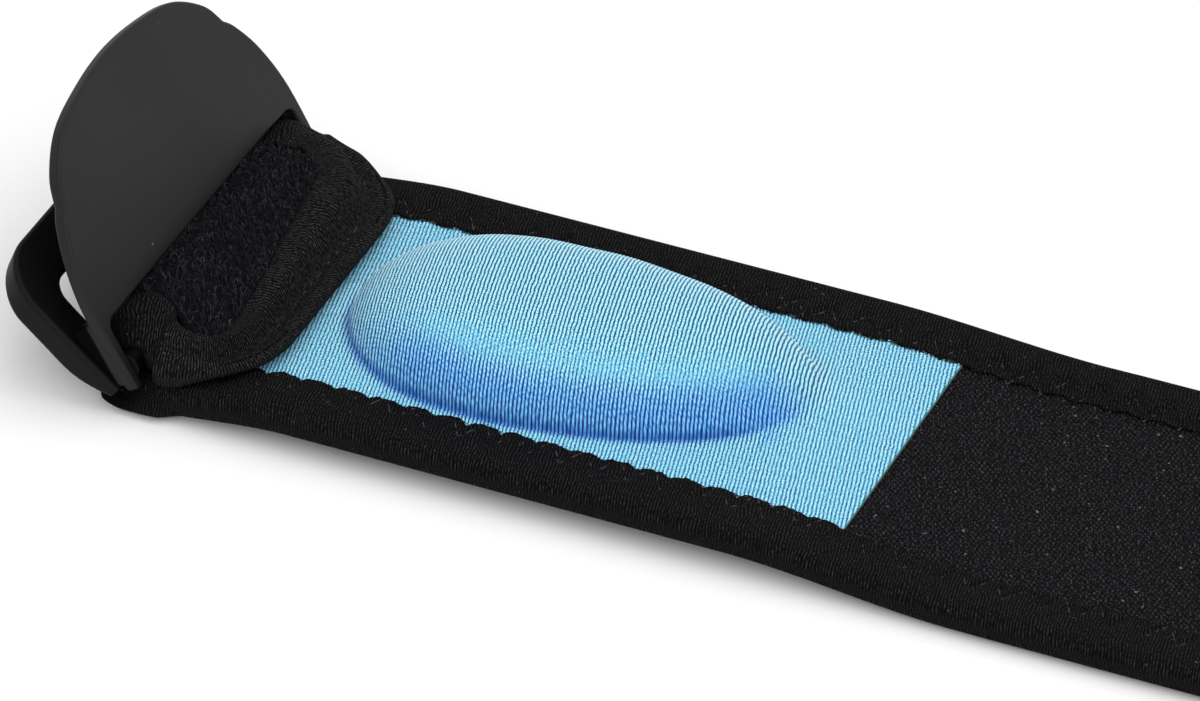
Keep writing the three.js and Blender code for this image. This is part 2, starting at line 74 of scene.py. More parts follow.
# The strap's half width: place along it from the bar, and half width there
WIDTHS = (
    (FLAP_END, 31.4), (-FOLD_ARC - 9, 31.4), (-FOLD_ARC, 29.2),
    (-8, 29.2), (-2, 29.4), (3, 30.7),
    (8, 32.1), (95, 32.1), (140, 32.8),
    (180, 32.8), (262, 25.0), (STRAP_RUN, 25.0),
)
FLAP_CORNER = 16
FREE_CORNER = 18

# What comes and goes along the strap: where it starts, is full, begins to go, and is gone
ARCH = Table(rise=2.2, along=(1, 26, 96, 132))
SLOT_SHIFT = Table(near=0.6, far=1.2, along=(-FOLD_ARC - 11, -FOLD_ARC, -11, 1))
FLAP_DROOP = Table(near=5.6, far=4.6, power=4, along=(-5, 8, 7, 18))

# The near corner's tuck at the fold, and the flap's rise over the strap
NEAR_TUCK = Table(drop=2.6, spread=4, power=9)
FLAP_SETTLE = 18
FLAP_PUFF = 1.2

# The flap's sewn end, which is pressed down
LIP = Table(start=8, full=15, edge=1.2, drop=2.6, flat=3.6, up=7.5)

# How the padded fold swells in the buckle's slot, and the pile some more
SLOT_PUFF = Table(rise=1.3, at=-16.4, spread=4.0)
SLOT_FILL = Table(rise=0.3, at=-12.4, spread=2.5)

# The pad's oval and its cover, in the strap's plane
PAD = Table(
    along=59.4, across=2.5, half_long=36.2, half_near=22.2, half_far=16.5,
    tilt=4.5, height=11.0, squareness=2.2, narrows=0.12, falls=0.15,
)
COVER = Table(start=11, end=111.2, under_binding=1.4)
COVER_BASE = CORE_HALF + 0.35
COVER_THICK = 0.3
COVER_GRID = Table(along=159, pad=50, beside=10, finer=5)

# The dome, and its steepness, foot and softness: at its sides, more at its tip, more at its back
DOME = Table(power=2.8, fade=14)
DOME_EDGE = ((0.5, 0.2, 0.1), (0.3, 0.5, 0.3), (0.3, 0.6, 0.4))

# Relief of the cover and the jersey
RIB_PITCH = 0.6
RIB_RISE = 0.05
RIB_SLANT = Table(back=0.21, more=0.05)
COVER_WAVES = 0.12
JERSEY = Table(uneven=0.07, pull=0.25, pull_width=1.6)

# The binding: width, rolled edge, and scallops between the stitches
BINDING_WIDTH = 10
ROLL = 2.3
ROLL_POWER = 2.4
TAPE_THICK = 0.8
EDGE_STEP = 0.5
SCALLOP = Table(rise=0.6, power=0.8, back=0.5, ragged=0.35)
FLAP_WIDER = 0.45
FOOT_BULGE = 33.6

# The binding's surface: seat, dents at the thread, swellings, and the flap's border
SEAT = Table(depth=0.65, patched=0.35)
DENT = Table(outer=0.2, skin=0.7, patched=0.4, width=0.75, lean=0.54)
SWELLING = Table(rise=0.7, back=0.6)
BORDER = Table(rise=1.0, gathers=0.3, start=3.4, wide=7.2)
SEAM_CREASE = Table(depth=0.55, width=0.6)

# The pile's edge on the flap slants, and runs out into the near corner
GROOVE = Table(slant=0.105, back=0.4, near=3, nearer=2)

# The zigzag seam along the binding, the flap's straight seam, and their thread
STITCH_PITCH = 5.4
STITCH_OUT = 6.0
STITCH_IN = 10.6
FLAP_STITCH = 3.0
SEAM_INSET = 3.5
SEAM_START = 4
THREAD = Table(radius=0.1, rise=0.12, power=0.6)
FUZZ = Table(tries=9000, radius=0.04, short=0.2, long=0.75, drift=0.35, sag=0.45)

# The pile and the hook patch
PILE_BASE = -1.95
PILE_END = 239.8
PILE_UNDER = 0.9
LOOPS_MEET = -7
STRAND_RADIUS = 0.05
HOOK = Table(start=240.2, end=276, half=13.5, corner=6, thick=0.4)
HOOKS = Table(pitch=1.5, margin=1.2, radius=0.09, stem=0.3, bend=0.16, sunk=0.05)

# The buckle's plate: up from the bar, and half width there
PLATE_TILT = 60.7
PLATE_THICK = 2.2
PLATE_EDGE = (
    (-2.4, 32.8), (10, 33.1), (18, 31.5),
    (23.5, 28.8), (25.8, 26.8), (30, 24.4),
    (34.4, 18.2), (36.5, 9.3), (37.3, 0),
)
PLATE_KINK = 4
PLATE_RIM = 0.55
LEG = Table(foot=-3.4, outer=32.5, inner=31.0)
SLOT = Table(top=7.7, corner=1.6)

# The buckle's open loop and its window, and the cheeks that join it to the plate's legs
LOOP_TILT = 42
LOOP = Table(half=34.2, end=24.2, corner=8, foot=-1.5, high=-2.1, low=-6.8)
LOOP_FOOT = Table(until=6.5, rise=2.8, power=1.8)
LOOP_UNDERCUT = Table(depth=1.7, start=10)
LOOP_ROUND = 0.9
WINDOW = Table(top=15.8, half=27.8, corner=3, foot=30.9, foot_top=7.4)
CHEEK = ((-2.2, 0.9), (9, -0.9), (8.4, -4.7), (-1.6, -3.6))
CHEEK_HALF = 33.2
CHEEK_RIM = 0.5

# The camera, and the soft boxes: name, place and size in metres, and watts
CAMERA = Table(azimuth=24.2, elevation=35.8, distance=1492.5, target=(-76.45, 10.4, 0), lens=300)
LIT_POINT = (-0.05, 0, 0)
LIGHTS = (
    ("key", (0.3, 0.2, 1.3), (1.4, 1.2), 5.5),
    ("fill", (0.5, -1.0, 0.8), (1.2, 1.0), 4),
)
SKY = 0.88
FLOOR_HALF = 4.0


# Smooth steps, waves and tables


def smooth(x, low, high):
    """0 below low, 1 above high, and eased between them."""
    t = np.clip((x - low) / (high - low), 0, 1)
    return t * t * (3 - 2 * t)


def bump_at(x, middle, spread):
    """1 at the middle, falling off smoothly to both sides."""
    return np.exp(-(((x - middle) / spread) ** 2))


def wander(x, *periods):
    """A smooth uneven wave between -1 and 1."""
    waves = [np.sin(2 * math.pi * x / period + 1.7 * i) for i, period in enumerate(periods)]
    return sum(waves) / len(waves)


def between(x, start, full, until, end):
    """1 between full and until, and eased to 0 at start and end."""
    return smooth(x, start, full) * (1 - smooth(x, until, end))


def half_width(s):
    """Half the strap's width at a place along it."""
    along, half = np.array(WIDTHS).T
    i = np.clip(np.searchsorted(along, s), 1, len(along) - 1)
    return half[i - 1] + (half[i] - half[i - 1]) * smooth(s, along[i - 1], along[i])


def near_far(s, v, table):
    """A table's value, from the strap's near edge to its far one."""
    nearness = np.clip((1 - v / half_width(s)) / 2, 0, 1)
    return table.far + (table.near - table.far) * nearness


# The strap's path, and points laid on it


def run_height(s):
    """Height of the strap's middle layer over the surface it lies on."""
    return LAYER_OUT + ARCH.rise * between(s, *ARCH.along)


def flap_height(d):
    """Height of the flap's middle layer at a distance from the fold."""
    settled = run_height(d) + STRAP_THICK + GAP
    top = BAR_Z + FOLD_RADIUS - (LAYER_OUT + STRAP_THICK + GAP)
    puff = FLAP_PUFF * np.sin(math.pi * np.clip(d / FLAP_SETTLE, 0, 1)) ** 2
    return settled + top * (1 - smooth(d, 0, FLAP_SETTLE)) + puff


def level_path(d, height, side):
    """Points and skin directions along a stretch of the strap that lies over the surface."""
    step = 0.05
    slope = (height(d + step) - height(np.maximum(0, d - step))) / (2 * step)
    long = np.hypot(slope, 1)
    return BAR_X + d, height(d), -side * slope / long, side / long


def lay(s, v, n):
    """Points in metres for places on the flat strap: along it, across it, and out to the skin side."""
    s, v, n = np.broadcast_arrays(*(np.asarray(a, float) for a in (s, v, n)))
    d = -s - FOLD_ARC
    turn = s / FOLD_RADIUS - math.pi / 2
    fold = (
        BAR_X + FOLD_RADIUS * np.cos(turn),
        BAR_Z + FOLD_RADIUS * np.sin(turn),
        -np.cos(turn),
        -np.sin(turn),
    )
    run = level_path(np.maximum(s, 0), run_height, 1)
    flap = level_path(np.maximum(d, 0), flap_height, -1)
    x, z, skin_x, skin_z = np.where(s >= 0, run, np.where(d > 0, flap, fold))
    outward = v / half_width(s)
    droop = near_far(s, v, FLAP_DROOP) * between(d, *FLAP_DROOP.along) * outward ** FLAP_DROOP.power
    tucked = np.clip(-outward, 0, 1) ** NEAR_TUCK.power
    droop = droop + NEAR_TUCK.drop * bump_at(d, 0, NEAR_TUCK.spread) * tucked
    y = v + near_far(s, v, SLOT_SHIFT) * between(s, *SLOT_SHIFT.along)
    return np.stack([x + skin_x * n, y, z + skin_z * n - droop], -1) * MM


# Meshes


def grid_faces(rows, cols, wrap_rows=False, wrap_cols=False):
    """Quads over a grid of points that are numbered row by row."""
    i, j = np.meshgrid(
        np.arange(rows if wrap_rows else rows - 1),
        np.arange(cols if wrap_cols else cols - 1),
        indexing="ij",
    )
    down, right = (i + 1) % rows, (j + 1) % cols
    quads = [i * cols + j, down * cols + j, down * cols + right, i * cols + right]
    return np.stack(quads, -1).reshape(-1, 4)


def facing_out(points, faces):
    """The faces of a closed mesh, turned so that they face outwards."""
    volume = 0
    for group in faces:
        first = points[group[:, 0]]
        for j in range(1, group.shape[1] - 1):
            volume += (first * np.cross(points[group[:, j]], points[group[:, j + 1]])).sum()
    return faces if volume > 0 else [group[:, ::-1] for group in faces]


def linked(name, data):
    """An object in the scene."""
    thing = bpy.data.objects.new(name, data)
    bpy.context.scene.collection.objects.link(thing)
    return thing


def new_piece(name, points, faces, flat=None):
    """A mesh object from points in metres and faces, with its flat places as a UV map."""
    mesh = bpy.data.meshes.new(name)
    corners = np.concatenate([group.ravel() for group in faces])
    sizes = np.concatenate([np.full(len(group), group.shape[1]) for group in faces])
    mesh.vertices.add(len(points))
    mesh.vertices.foreach_set("co", points.astype(np.float32).ravel())
    mesh.loops.add(len(corners))
    mesh.loops.foreach_set("vertex_index", corners.astype(np.int32))
    mesh.polygons.add(len(sizes))
    mesh.polygons.foreach_set("loop_start", (np.cumsum(sizes) - sizes).astype(np.int32))
    mesh.polygons.foreach_set("use_smooth", np.ones(len(sizes), bool))
    mesh.update(calc_edges=True)
    if flat is not None:
        layer = mesh.uv_layers.new(name="flat")
        layer.uv.foreach_set("vector", flat.reshape(-1, 2)[corners].astype(np.float32).ravel())
    mesh.validate()
    return linked(name, mesh)


def put_values(piece, name, values):
    """Keeps a number on each point of a piece, for its material."""
    layer = piece.data.attributes.new(name, "FLOAT", "POINT")
    layer.data.foreach_set("value", values.astype(np.float32).ravel())


def loft(rings, closed=False):
    """Points and faces of a closed surface through rings of points."""
    rows, cols = rings.shape[:2]
    points = rings.reshape(-1, 3)
    faces = [grid_faces(rows, cols, wrap_rows=closed, wrap_cols=True)]
    if not closed:
        j = np.arange(cols // 2 - 1)
        strip = np.stack([j, j + 1, cols - 2 - j, cols - 1 - j], -1)
        faces += [strip, (strip + (rows - 1) * cols)[:, ::-1]]
    return points, facing_out(points, faces)


def tubes(lines, radius, sides=4):
    """Points and faces of thin tubes along lines of points: tube, step, xyz."""
    count, steps = lines.shape[:2]
    along = np.gradient(lines, axis=1)
    along /= np.maximum(np.linalg.norm(along, axis=-1, keepdims=True), 1e-12)
    upright = np.abs(along[..., 2:]) > 0.9
    side = np.cross(along, np.where(upright, (1.0, 0.0, 0.0), (0.0, 0.0, 1.0)))
    side /= np.linalg.norm(side, axis=-1, keepdims=True)
    other = np.cross(along, side)
    turn = np.arange(sides) * 2 * math.pi / sides
    ring = np.cos(turn)[:, None] * side[:, :, None] + np.sin(turn)[:, None] * other[:, :, None]
    points = (lines[:, :, None] + radius * MM * ring).reshape(-1, 3)
    one = grid_faces(steps, sides, wrap_cols=True)
    start = np.arange(sides)[None]
    caps = np.concatenate([start[:, ::-1], start + (steps - 1) * sides])
    shift = (np.arange(count) * steps * sides)[:, None, None]
    faces = [(shift + one[None]).reshape(-1, 4), (shift + caps[None]).reshape(-1, sides)]
    return points, facing_out(points, faces)


def dressed(piece, slot, *replaced, finish=None):
    """Gives a piece its material, its body and the nodes that it stands for."""
    piece.data.materials.clear()
    piece.data.materials.append(FINISH[finish or slot])
    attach(piece, BODY)
    if replaced:
        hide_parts(*replaced)
    return piece


# Materials


class Nodes:
    """A material's nodes, and short ways to add them. Colours are red, green and blue."""

    def __init__(self, name):
        self.material = bpy.data.materials.new(name)
        self.material.use_nodes = True
        self.tree = self.material.node_tree
        self.shader = self.tree.nodes["Principled BSDF"]

    def add(self, kind, inputs=None, **settings):
        node = self.tree.nodes.new("ShaderNode" + kind)
        for key, value in settings.items():
            setattr(node, key, value)
        for key, value in (inputs or {}).items():
            self.put(node.inputs[key], value)
        return node

    def put(self, socket, value):
        if isinstance(value, bpy.types.NodeSocket):
            self.tree.links.new(value, socket)
        else:
            socket.default_value = (*value, 1) if isinstance(value, tuple) else value

    def math(self, kind, a, b=0.0):
        return self.add("Math", {0: a, 1: b}, operation=kind).outputs[0]

    def times(self, a, b):
        return self.math("MULTIPLY", a, b)

    def plus(self, a, b):
        return self.math("ADD", a, b)

    def value(self, name):
        """A number that is kept on the mesh's points."""
        return self.add("Attribute", attribute_name=name).outputs["Fac"]

    def line(self, x, y, a, b):
        """a times x plus b times y."""
        return self.plus(self.times(x, a), self.times(y, b))

    def flat(self):
        """The flat place along and across the strap, in millimetres."""
        place = self.add("UVMap", uv_map="flat").outputs[0]
        parts = self.add("SeparateXYZ", {0: place})
        return place, parts.outputs[0], parts.outputs[1]

    def place(self):
        """The point on the object, in metres."""
        return self.add("TexCoord").outputs["Object"]

    def noise(self, at, scale, detail=2.0, rough=0.5):
        inputs = {"Vector": at, "Scale": scale, "Detail": detail, "Roughness": rough}
        return self.add("TexNoise", inputs).outputs["Fac"]

    def wave(self, x, period):
        """A sine between 0 and 1 with that period along x."""
        turn = self.times(x, 2 * math.pi / period)
        half = self.times(self.math("SINE", turn), 0.5)
        return self.plus(half, 0.5)

    def ramp(self, x, low, high, a=0.0, b=1.0):
        inputs = {0: x, 1: low, 2: high, 3: a, 4: b}
        return self.add("MapRange", inputs, clamp=True).outputs[0]

    def mix(self, amount, a, b):
        node = self.add("Mix", data_type="RGBA")
        for socket, value in zip((node.inputs[0], node.inputs[6], node.inputs[7]), (amount, a, b)):
            self.put(socket, value)
        return node.outputs[2]

    def shades(self, lit, deep, middle, pale):
        """A colour that goes through three shades as lit goes from 0 to 1."""
        lower = self.mix(self.ramp(lit, 0.0, 0.5), deep, middle)
        return self.mix(self.ramp(lit, 0.5, 1.0), lower, pale)

    def bump(self, height, distance, strength=1.0):
        inputs = {"Height": height, "Distance": distance * MM, "Strength": strength}
        return self.add("Bump", inputs).outputs[0]

    def finish(self, colour, roughness, normal=None, **constants):
        self.put(self.shader.inputs["Base Color"], colour)
        self.put(self.shader.inputs["Roughness"], roughness)
        if normal is not None:
            self.put(self.shader.inputs["Normal"], normal)
        for key, value in constants.items():
            self.shader.inputs[key.replace("_", " ")].default_value = value
        return self.material


def stretch_finish():
    """Light blue stretch cloth with fine ribs, bluer where it is stretched over the pad, with painted
    shade on the pad's near wall and in the crease at its foot.
    """
    m = Nodes("stretch_cloth")
    place, rib, along = m.flat()
    loop_pitch, loop_slant = 0.52, 0.41
    ridge = m.wave(m.plus(rib, m.ramp(m.noise(place, 0.7), 0.3, 0.7, -0.08, 0.08)), RIB_PITCH)
    loops = m.wave(m.line(along, rib, 1.0, loop_slant), loop_pitch)
    fibre = m.noise(place, 3.4, rough=0.6)
    beads = m.times(loops, m.ramp(ridge, 0.4, 1.0, 0.0, 0.4))
    ribbed = m.plus(m.ramp(ridge, 0.12, 0.66, -0.08, 0.64), beads)
    plainer = m.plus(m.times(ribbed, 0.25), 0.38)
    lit = m.add("Mix", {0: m.value("shoulder"), 2: ribbed, 3: plainer}).outputs[0]
    lit = m.plus(lit, m.ramp(fibre, 0.3, 0.7, -0.32, 0.34))
    loose = m.shades(lit, (0.002, 0.04, 0.1), (0.135, 0.54, 0.8), (0.6, 0.93, 1.0))
    # The pulled shades are partly the cloth's own deeper blue where stretched and partly painted shade
    # on the pad's near wall.
    pulled = m.shades(lit, (0.001, 0.03, 0.2), (0.042, 0.265, 0.7), (0.25, 0.64, 0.98))
    # Painted shade in the crease at the pad's foot.
    crease_shade = m.shades(lit, (0.001, 0.025, 0.17), (0.012, 0.11, 0.44), (0.07, 0.29, 0.72))
    cut_edge = (0.02, 0.12, 0.1)
    colour = m.mix(m.value("stretched_and_shaded"), loose, pulled)
    colour = m.mix(m.value("crease"), colour, crease_shade)
    colour = m.mix(m.value("cut"), colour, cut_edge)
    height = m.plus(m.times(loops, ridge), m.times(fibre, 0.5))
    normal = m.bump(height, 0.05, 0.8)
    return m.finish(colour, 0.62, normal, Specular_IOR_Level=0.25, Sheen_Weight=0.2, Sheen_Roughness=0.4)


def jersey_finish():
    """Black knitted jersey with a few bright fibres."""
    m = Nodes("black_jersey")
    place, along, across = m.flat()
    loose = m.ramp(m.noise(place, 1.1), 0.25, 0.75, -0.5, 0.5)
    wales = m.wave(m.plus(m.line(along, across, 1.46, -0.07), loose), 1.0)
    courses = m.wave(m.math("SUBTRACT", m.line(along, across, 0.87, 1.21), loose), 1.0)
    fibre = m.noise(place, 2.6, rough=0.7)
    knit = m.times(wales, courses)
    lint = m.ramp(m.noise(place, 1.0, detail=1.0), 0.71, 0.78)
    lit = m.times(m.ramp(knit, 0.06, 0.8, 0.08, 1.0), m.ramp(fibre, 0.4, 0.7, 0.06, 1.2))
    black, grey, pale_lint = (0.0012, 0.0012, 0.0016), (0.053, 0.053, 0.059), (0.2, 0.2, 0.21)
    colour = m.mix(m.times(lint, 0.6), m.mix(lit, black, grey), pale_lint)
    height = m.plus(knit, m.times(fibre, 0.5))
    return m.finish(colour, 0.85, m.bump(height, 0.08), Specular_IOR_Level=0.05)


def binding_finish():
    """Black knit tape with fine ribs across it, a little dusty, with painted shade on its rolled edge
    round the buckle's fold.
    """
    m = Nodes("black_tape")
    place, along, across = m.flat()
    rib_pitch, rib_slant = 0.5, 0.2
    bend = m.times(m.noise(place, 0.25), 1.4)
    rib = m.wave(m.plus(m.line(along, across, 1.0, rib_slant), bend), rib_pitch)
    fine = m.add("CombineXYZ", {0: m.times(along, 4.4), 1: m.times(across, 2.0)})
    strokes = m.noise(fine.outputs[0], 1.0, rough=0.6)
    lint = m.ramp(m.noise(place, 1.2, detail=1.0), 0.73, 0.8)
    lit = m.times(m.ramp(rib, 0.35, 0.95, 0.05, 1.0), m.ramp(strokes, 0.42, 0.68, 0.05, 1.0))
    # Painted shade: the ribs' pale is taken away on the rolled edge round the fold, where the deep value
    # is 1.
    lit = m.times(lit, m.ramp(m.value("deep"), 0.0, 1.0, 1.0, 0.03))
    black, dusty = (0.0016, 0.0016, 0.0018), (0.14, 0.14, 0.14)
    pale = m.mix(m.value("flap"), (0.03, 0.03, 0.031), (0.057, 0.057, 0.059))
    colour = m.mix(m.times(lint, 0.45), m.mix(lit, black, pale), dusty)
    height = m.plus(m.times(rib, 0.6), m.times(strokes, 0.5))
    return m.finish(colour, 0.85, m.bump(height, 0.06), Specular_IOR_Level=0.05)


def pile_finish():
    """The blue-black ground of the brushed pile."""
    m = Nodes("black_pile")
    clumps = m.noise(m.place(), 900.0, detail=3.0, rough=0.6)
    colour = m.mix(m.ramp(clumps, 0.38, 0.72), (0.0008, 0.0008, 0.0016), (0.006, 0.0057, 0.01))
    return m.finish(colour, 0.8, m.bump(clumps, 0.3), Specular_IOR_Level=0.08)


def strand_finish():
    """The pile's strands: most are blue-black, some are pale, with painted highlights along the pale
    ones.
    """
    m = Nodes("pile_strands")
    # Painted highlight: the pale strands brighten in spots along their length; their paleness itself is
    # their own colour.
    shine = m.ramp(m.noise(m.place(), 2600.0, detail=1.0), 0.4, 0.7, 0.35, 1.0)
    lit = m.times(m.value("pale"), shine)
    colour = m.mix(lit, (0.0014, 0.0014, 0.0028), (0.16, 0.156, 0.2))
    return m.finish(colour, 0.6, Specular_IOR_Level=0.15)


def moulding_finish():
    """Moulded plastic: a matte grained plate, a darker and less shiny loop and cheeks behind the plate's
    plane, painted shade on the bar in the slot and on the cheeks, and specks of dust.
    """
    m = Nodes("matte_moulding")
    place = m.place()
    parts = m.add("SeparateXYZ", {0: place})
    x = m.math("SUBTRACT", parts.outputs[0], BAR_X * MM)
    z = m.math("SUBTRACT", parts.outputs[2], BAR_Z * MM)

    def above(tilt):
        """How far a point lies over a plane through the bar with that tilt."""
        return m.line(x, z, math.sin(math.radians(tilt)), math.cos(math.radians(tilt)))

    behind = m.ramp(above(PLATE_TILT), -1.6 * MM, -1.15 * MM, 1.0, 0.0)
    radius = m.math("SQRT", m.plus(m.math("POWER", x, 2.0), m.math("POWER", z, 2.0)))
    on_bar = m.ramp(radius, 2.1 * MM, 2.5 * MM, 1.0, 0.0)
    in_slot = m.ramp(m.math("ABSOLUTE", parts.outputs[1]), 31 * MM, 31.3 * MM, 1.0, 0.0)
    on_cheek = m.times(behind, m.ramp(above(LOOP_TILT), -2.05 * MM, -1.9 * MM))
    # Painted shade on the bar inside the slot and on the cheeks between loop and plate.
    shaded = m.math("MAXIMUM", m.times(on_bar, in_slot), on_cheek)
    grain = m.noise(place, 5200.0, detail=1.0)
    cloud = m.noise(place, 55.0, detail=3.0)
    cells = m.add("TexVoronoi", {"Vector": place, "Scale": 260.0})
    rare = m.ramp(m.add("SeparateColor", {0: cells.outputs["Color"]}).outputs[0], 0.9, 0.91)
    dust = m.times(m.ramp(cells.outputs["Distance"], 0.04, 0.09, 1.0, 0.0), rare)
    plate = m.mix(m.ramp(cloud, 0.3, 0.7), (0.0035, 0.0034, 0.0029), (0.0045, 0.0044, 0.0038))
    # shade is the colour of the painted shade.
    loop, shade, pale_dust = (0.0026, 0.0027, 0.0026), (0.0006, 0.0006, 0.0006), (0.3, 0.3, 0.28)
    colour = m.mix(shaded, m.mix(behind, plate, loop), shade)
    colour = m.mix(m.times(dust, 0.22), colour, pale_dust)
    shine = m.times(m.ramp(behind, 0, 1, 0.28, 0.13), m.ramp(shaded, 0, 1, 1.0, 0.2))
    m.put(m.shader.inputs["Specular IOR Level"], shine)
    roughness = m.ramp(cloud, 0.3, 0.7, 0.46, 0.54)
    return m.finish(colour, roughness, m.bump(grain, 0.012, 0.5))


def thread_finish():
    """Twisted black sewing thread, with painted glints."""
    m = Nodes("black_thread")
    twist = m.noise(m.place(), 3500.0, detail=1.0)
    # Painted highlight: pale specks standing in for glints of light on the thread.
    painted_glint = m.ramp(m.noise(m.place(), 1100.0, detail=0.0), 0.56, 0.64)
    colour = m.mix(m.ramp(twist, 0.4, 0.7), (0.002, 0.002, 0.0022), (0.014, 0.014, 0.015))
    colour = m.mix(painted_glint, colour, (0.06, 0.06, 0.06))
    return m.finish(colour, 0.75, m.bump(twist, 0.05), Specular_IOR_Level=0.08)


def foam_finish():
    """Grey foam rubber with small open cells."""
    m = Nodes("foam_rubber")
    cells = m.add("TexVoronoi", {"Vector": m.place(), "Scale": 1500.0}).outputs["Distance"]
    colour = m.mix(m.ramp(cells, 0.1, 0.6), (0.2, 0.21, 0.22), (0.32, 0.33, 0.34))
    return m.finish(colour, 0.9, m.bump(cells, 0.2))


def hook_finish():
    """Black hook tape, slightly glossy."""
    m = Nodes("hook_tape")
    grain = m.noise(m.place(), 2500.0)
    colour = m.mix(m.ramp(grain, 0.3, 0.7), (0.004, 0.004, 0.0045), (0.012, 0.012, 0.013))
    return m.finish(colour, 0.5, m.bump(grain, 0.05), Specular_IOR_Level=0.3)


FINISH = {
    "jersey": jersey_finish(),
    "pile": pile_finish(),
    "strands": strand_finish(),
    "binding": binding_finish(),
    "stretch": stretch_finish(),
    "foam": foam_finish(),
    "moulding": moulding_finish(),
    "hook": hook_finish(),
    "thread": thread_finish(),
}


# The foam band with its jersey face


def zigzag(u):
    """How far in the zigzag thread runs, at a length along the edge."""
    part = np.abs(2 * ((u / STITCH_PITCH) % 1) - 1)
    return STITCH_IN + (STITCH_OUT - STITCH_IN) * part


def layer_rings(s, half, low, high, count, rounding):
    """Rings round a layer of the strap: along, across, through."""
    over = np.sin(np.linspace(-math.pi / 2, math.pi / 2, count))
    rim = np.sqrt(np.clip(1 - ((np.abs(over) - 1) / rounding + 1).clip(0) ** 2, 0, 1))
    middle, thick = (low + high) / 2, (high - low) / 2
    across = np.concatenate([over, over[-2:0:-1]])
    height = np.concatenate([middle + thick * rim, middle - thick * rim[-2:0:-1]])
    v = half[:, None] * across
    return np.broadcast_to(s[:, None], v.shape), v, np.broadcast_to(height, v.shape)


def corner_narrowing(distance, radius):
    """How much a rounded corner narrows a layer at a distance from its end."""
    left = np.clip(radius - distance, 0, radius)
    return radius - np.sqrt(radius**2 - left**2)


def layer_places(start, end, corner_start, corner_end):
    """Places along a layer, closer together through its rounded corners."""
    step, least, rows = 1.5, 0.2, 14
    even = np.linspace(start, end, int((end - start) / step))
    turn = 1 - np.cos(np.linspace(0.04, 1, rows) * math.pi / 2)
    ends = [start + corner_start * turn, end - corner_end * turn]
    places = np.unique(np.round(np.concatenate([even, *ends]), 2))
    return places[np.concatenate([[True], np.diff(places) > least])]


def lip(s):
    """1 at the flap's sewn end, 0 before it."""
    return smooth(-s - FOLD_ARC, LIP.start, LIP.full)


def lip_drop(s, inset):
    """How far the flap's sewn end is pressed down."""
    return LIP.drop * lip(s) * (1 - smooth(inset, LIP.flat, LIP.up))


def flap_inset(s, v):
    """Distance in from the flap's edge."""
    along = FLAP_END + FLAP_CORNER - s
    across = np.abs(v) - half_width(s) + FLAP_CORNER
    outside = np.hypot(np.maximum(along, 0), np.maximum(across, 0))
    return FLAP_CORNER - outside - np.minimum(np.maximum(along, across), 0)


def strap_core():
    inset = LAYER_OUT - CORE_HALF
    start, end = FLAP_END + inset, STRAP_RUN - inset
    corner_start, corner_end = FLAP_CORNER - inset, FREE_CORNER - inset
    s = layer_places(start, end, corner_start, corner_end)
    half = half_width(s) - inset
    half = half - corner_narrowing(s - start, corner_start) - corner_narrowing(end - s, corner_end)
    s, v, n = layer_rings(s, half, -CORE_HALF, CORE_HALF, 48, 0.03)
    on_skin = smooth(n, CORE_HALF / 2, CORE_HALF) * smooth(s, COVER.end, COVER.end + 6)
    at_seam = bump_at(half_width(s) - np.abs(v), STITCH_IN, JERSEY.pull_width)
    pulled = JERSEY.pull * at_seam * (0.6 + 0.4 * np.cos(2 * math.pi * s / STITCH_PITCH))
    uneven = JERSEY.uneven * wander(s + 0.4 * v, 31, 17, 11) * wander(v - 0.3 * s, 23, 14)
    most = 1.9 * CORE_HALF
    pressed = np.where(n < 0, np.minimum(lip_drop(s, flap_inset(s, v)), most), 0)
    rings = lay(s, v, n + pressed + on_skin * (uneven - pulled))
    piece = new_piece("core_band", *loft(rings), np.stack([s, v], -1))
    return dressed(piece, "jersey", "strap_core")


# The binding round the strap's edge


def edge_line():
    """The strap's edge as a line: along, across and its way out, and the length so far."""
    free, flap = STRAP_RUN - FREE_CORNER, FLAP_END + FLAP_CORNER
    free_v, flap_v = WIDTHS[-1][1] - FREE_CORNER, WIDTHS[0][1] - FLAP_CORNER
    side = np.linspace(flap, free, int((free - flap) / EDGE_STEP))[1:-1]
    parts = []

    def straight(s, v, out):
        parts.append(np.stack(np.broadcast_arrays(s, v, *out), -1))

    def corner(s, v, radius, turn_from):
        steps = int(radius * math.pi / 2 / EDGE_STEP)
        turn = np.radians(np.linspace(turn_from, turn_from + 90, steps))
        out_s, out_v = np.cos(turn), np.sin(turn)
        parts.append(np.stack([s + radius * out_s, v + radius * out_v, out_s, out_v], -1))

    def end(s, v, out):
        straight(s, np.linspace(v, -v, int(abs(2 * v) / EDGE_STEP))[1:-1], out)

    straight(side, -half_width(side), (0, -1))
    corner(free, -free_v, FREE_CORNER, -90)
    end(STRAP_RUN, -free_v, (1, 0))
    corner(free, free_v, FREE_CORNER, 0)
    straight(side[::-1], half_width(side[::-1]), (0, 1))
    corner(flap, flap_v, FLAP_CORNER, 90)
    end(FLAP_END, flap_v, (-1, 0))
    corner(flap, -flap_v, FLAP_CORNER, 180)
    line = np.concatenate(parts)
    gaps = np.linalg.norm(np.diff(line[:, :2], axis=0), axis=1)
    return line, np.concatenate([[0], np.cumsum(gaps)])


EDGE, EDGE_LENGTH = edge_line()


def on_edge(u):
    """Along, across and the way out, at lengths along the edge."""
    return [np.interp(u, EDGE_LENGTH, column) for column in EDGE.T]


def slot_puff(s):
    """How much the padded fold swells in the buckle's slot."""
    return SLOT_PUFF.rise * bump_at(s, SLOT_PUFF.at, SLOT_PUFF.spread)


def pile_puff(s):
    """The same for the pile, which fills the slot up to the plate."""
    return slot_puff(s) + SLOT_FILL.rise * bump_at(s, SLOT_FILL.at, SLOT_FILL.spread)


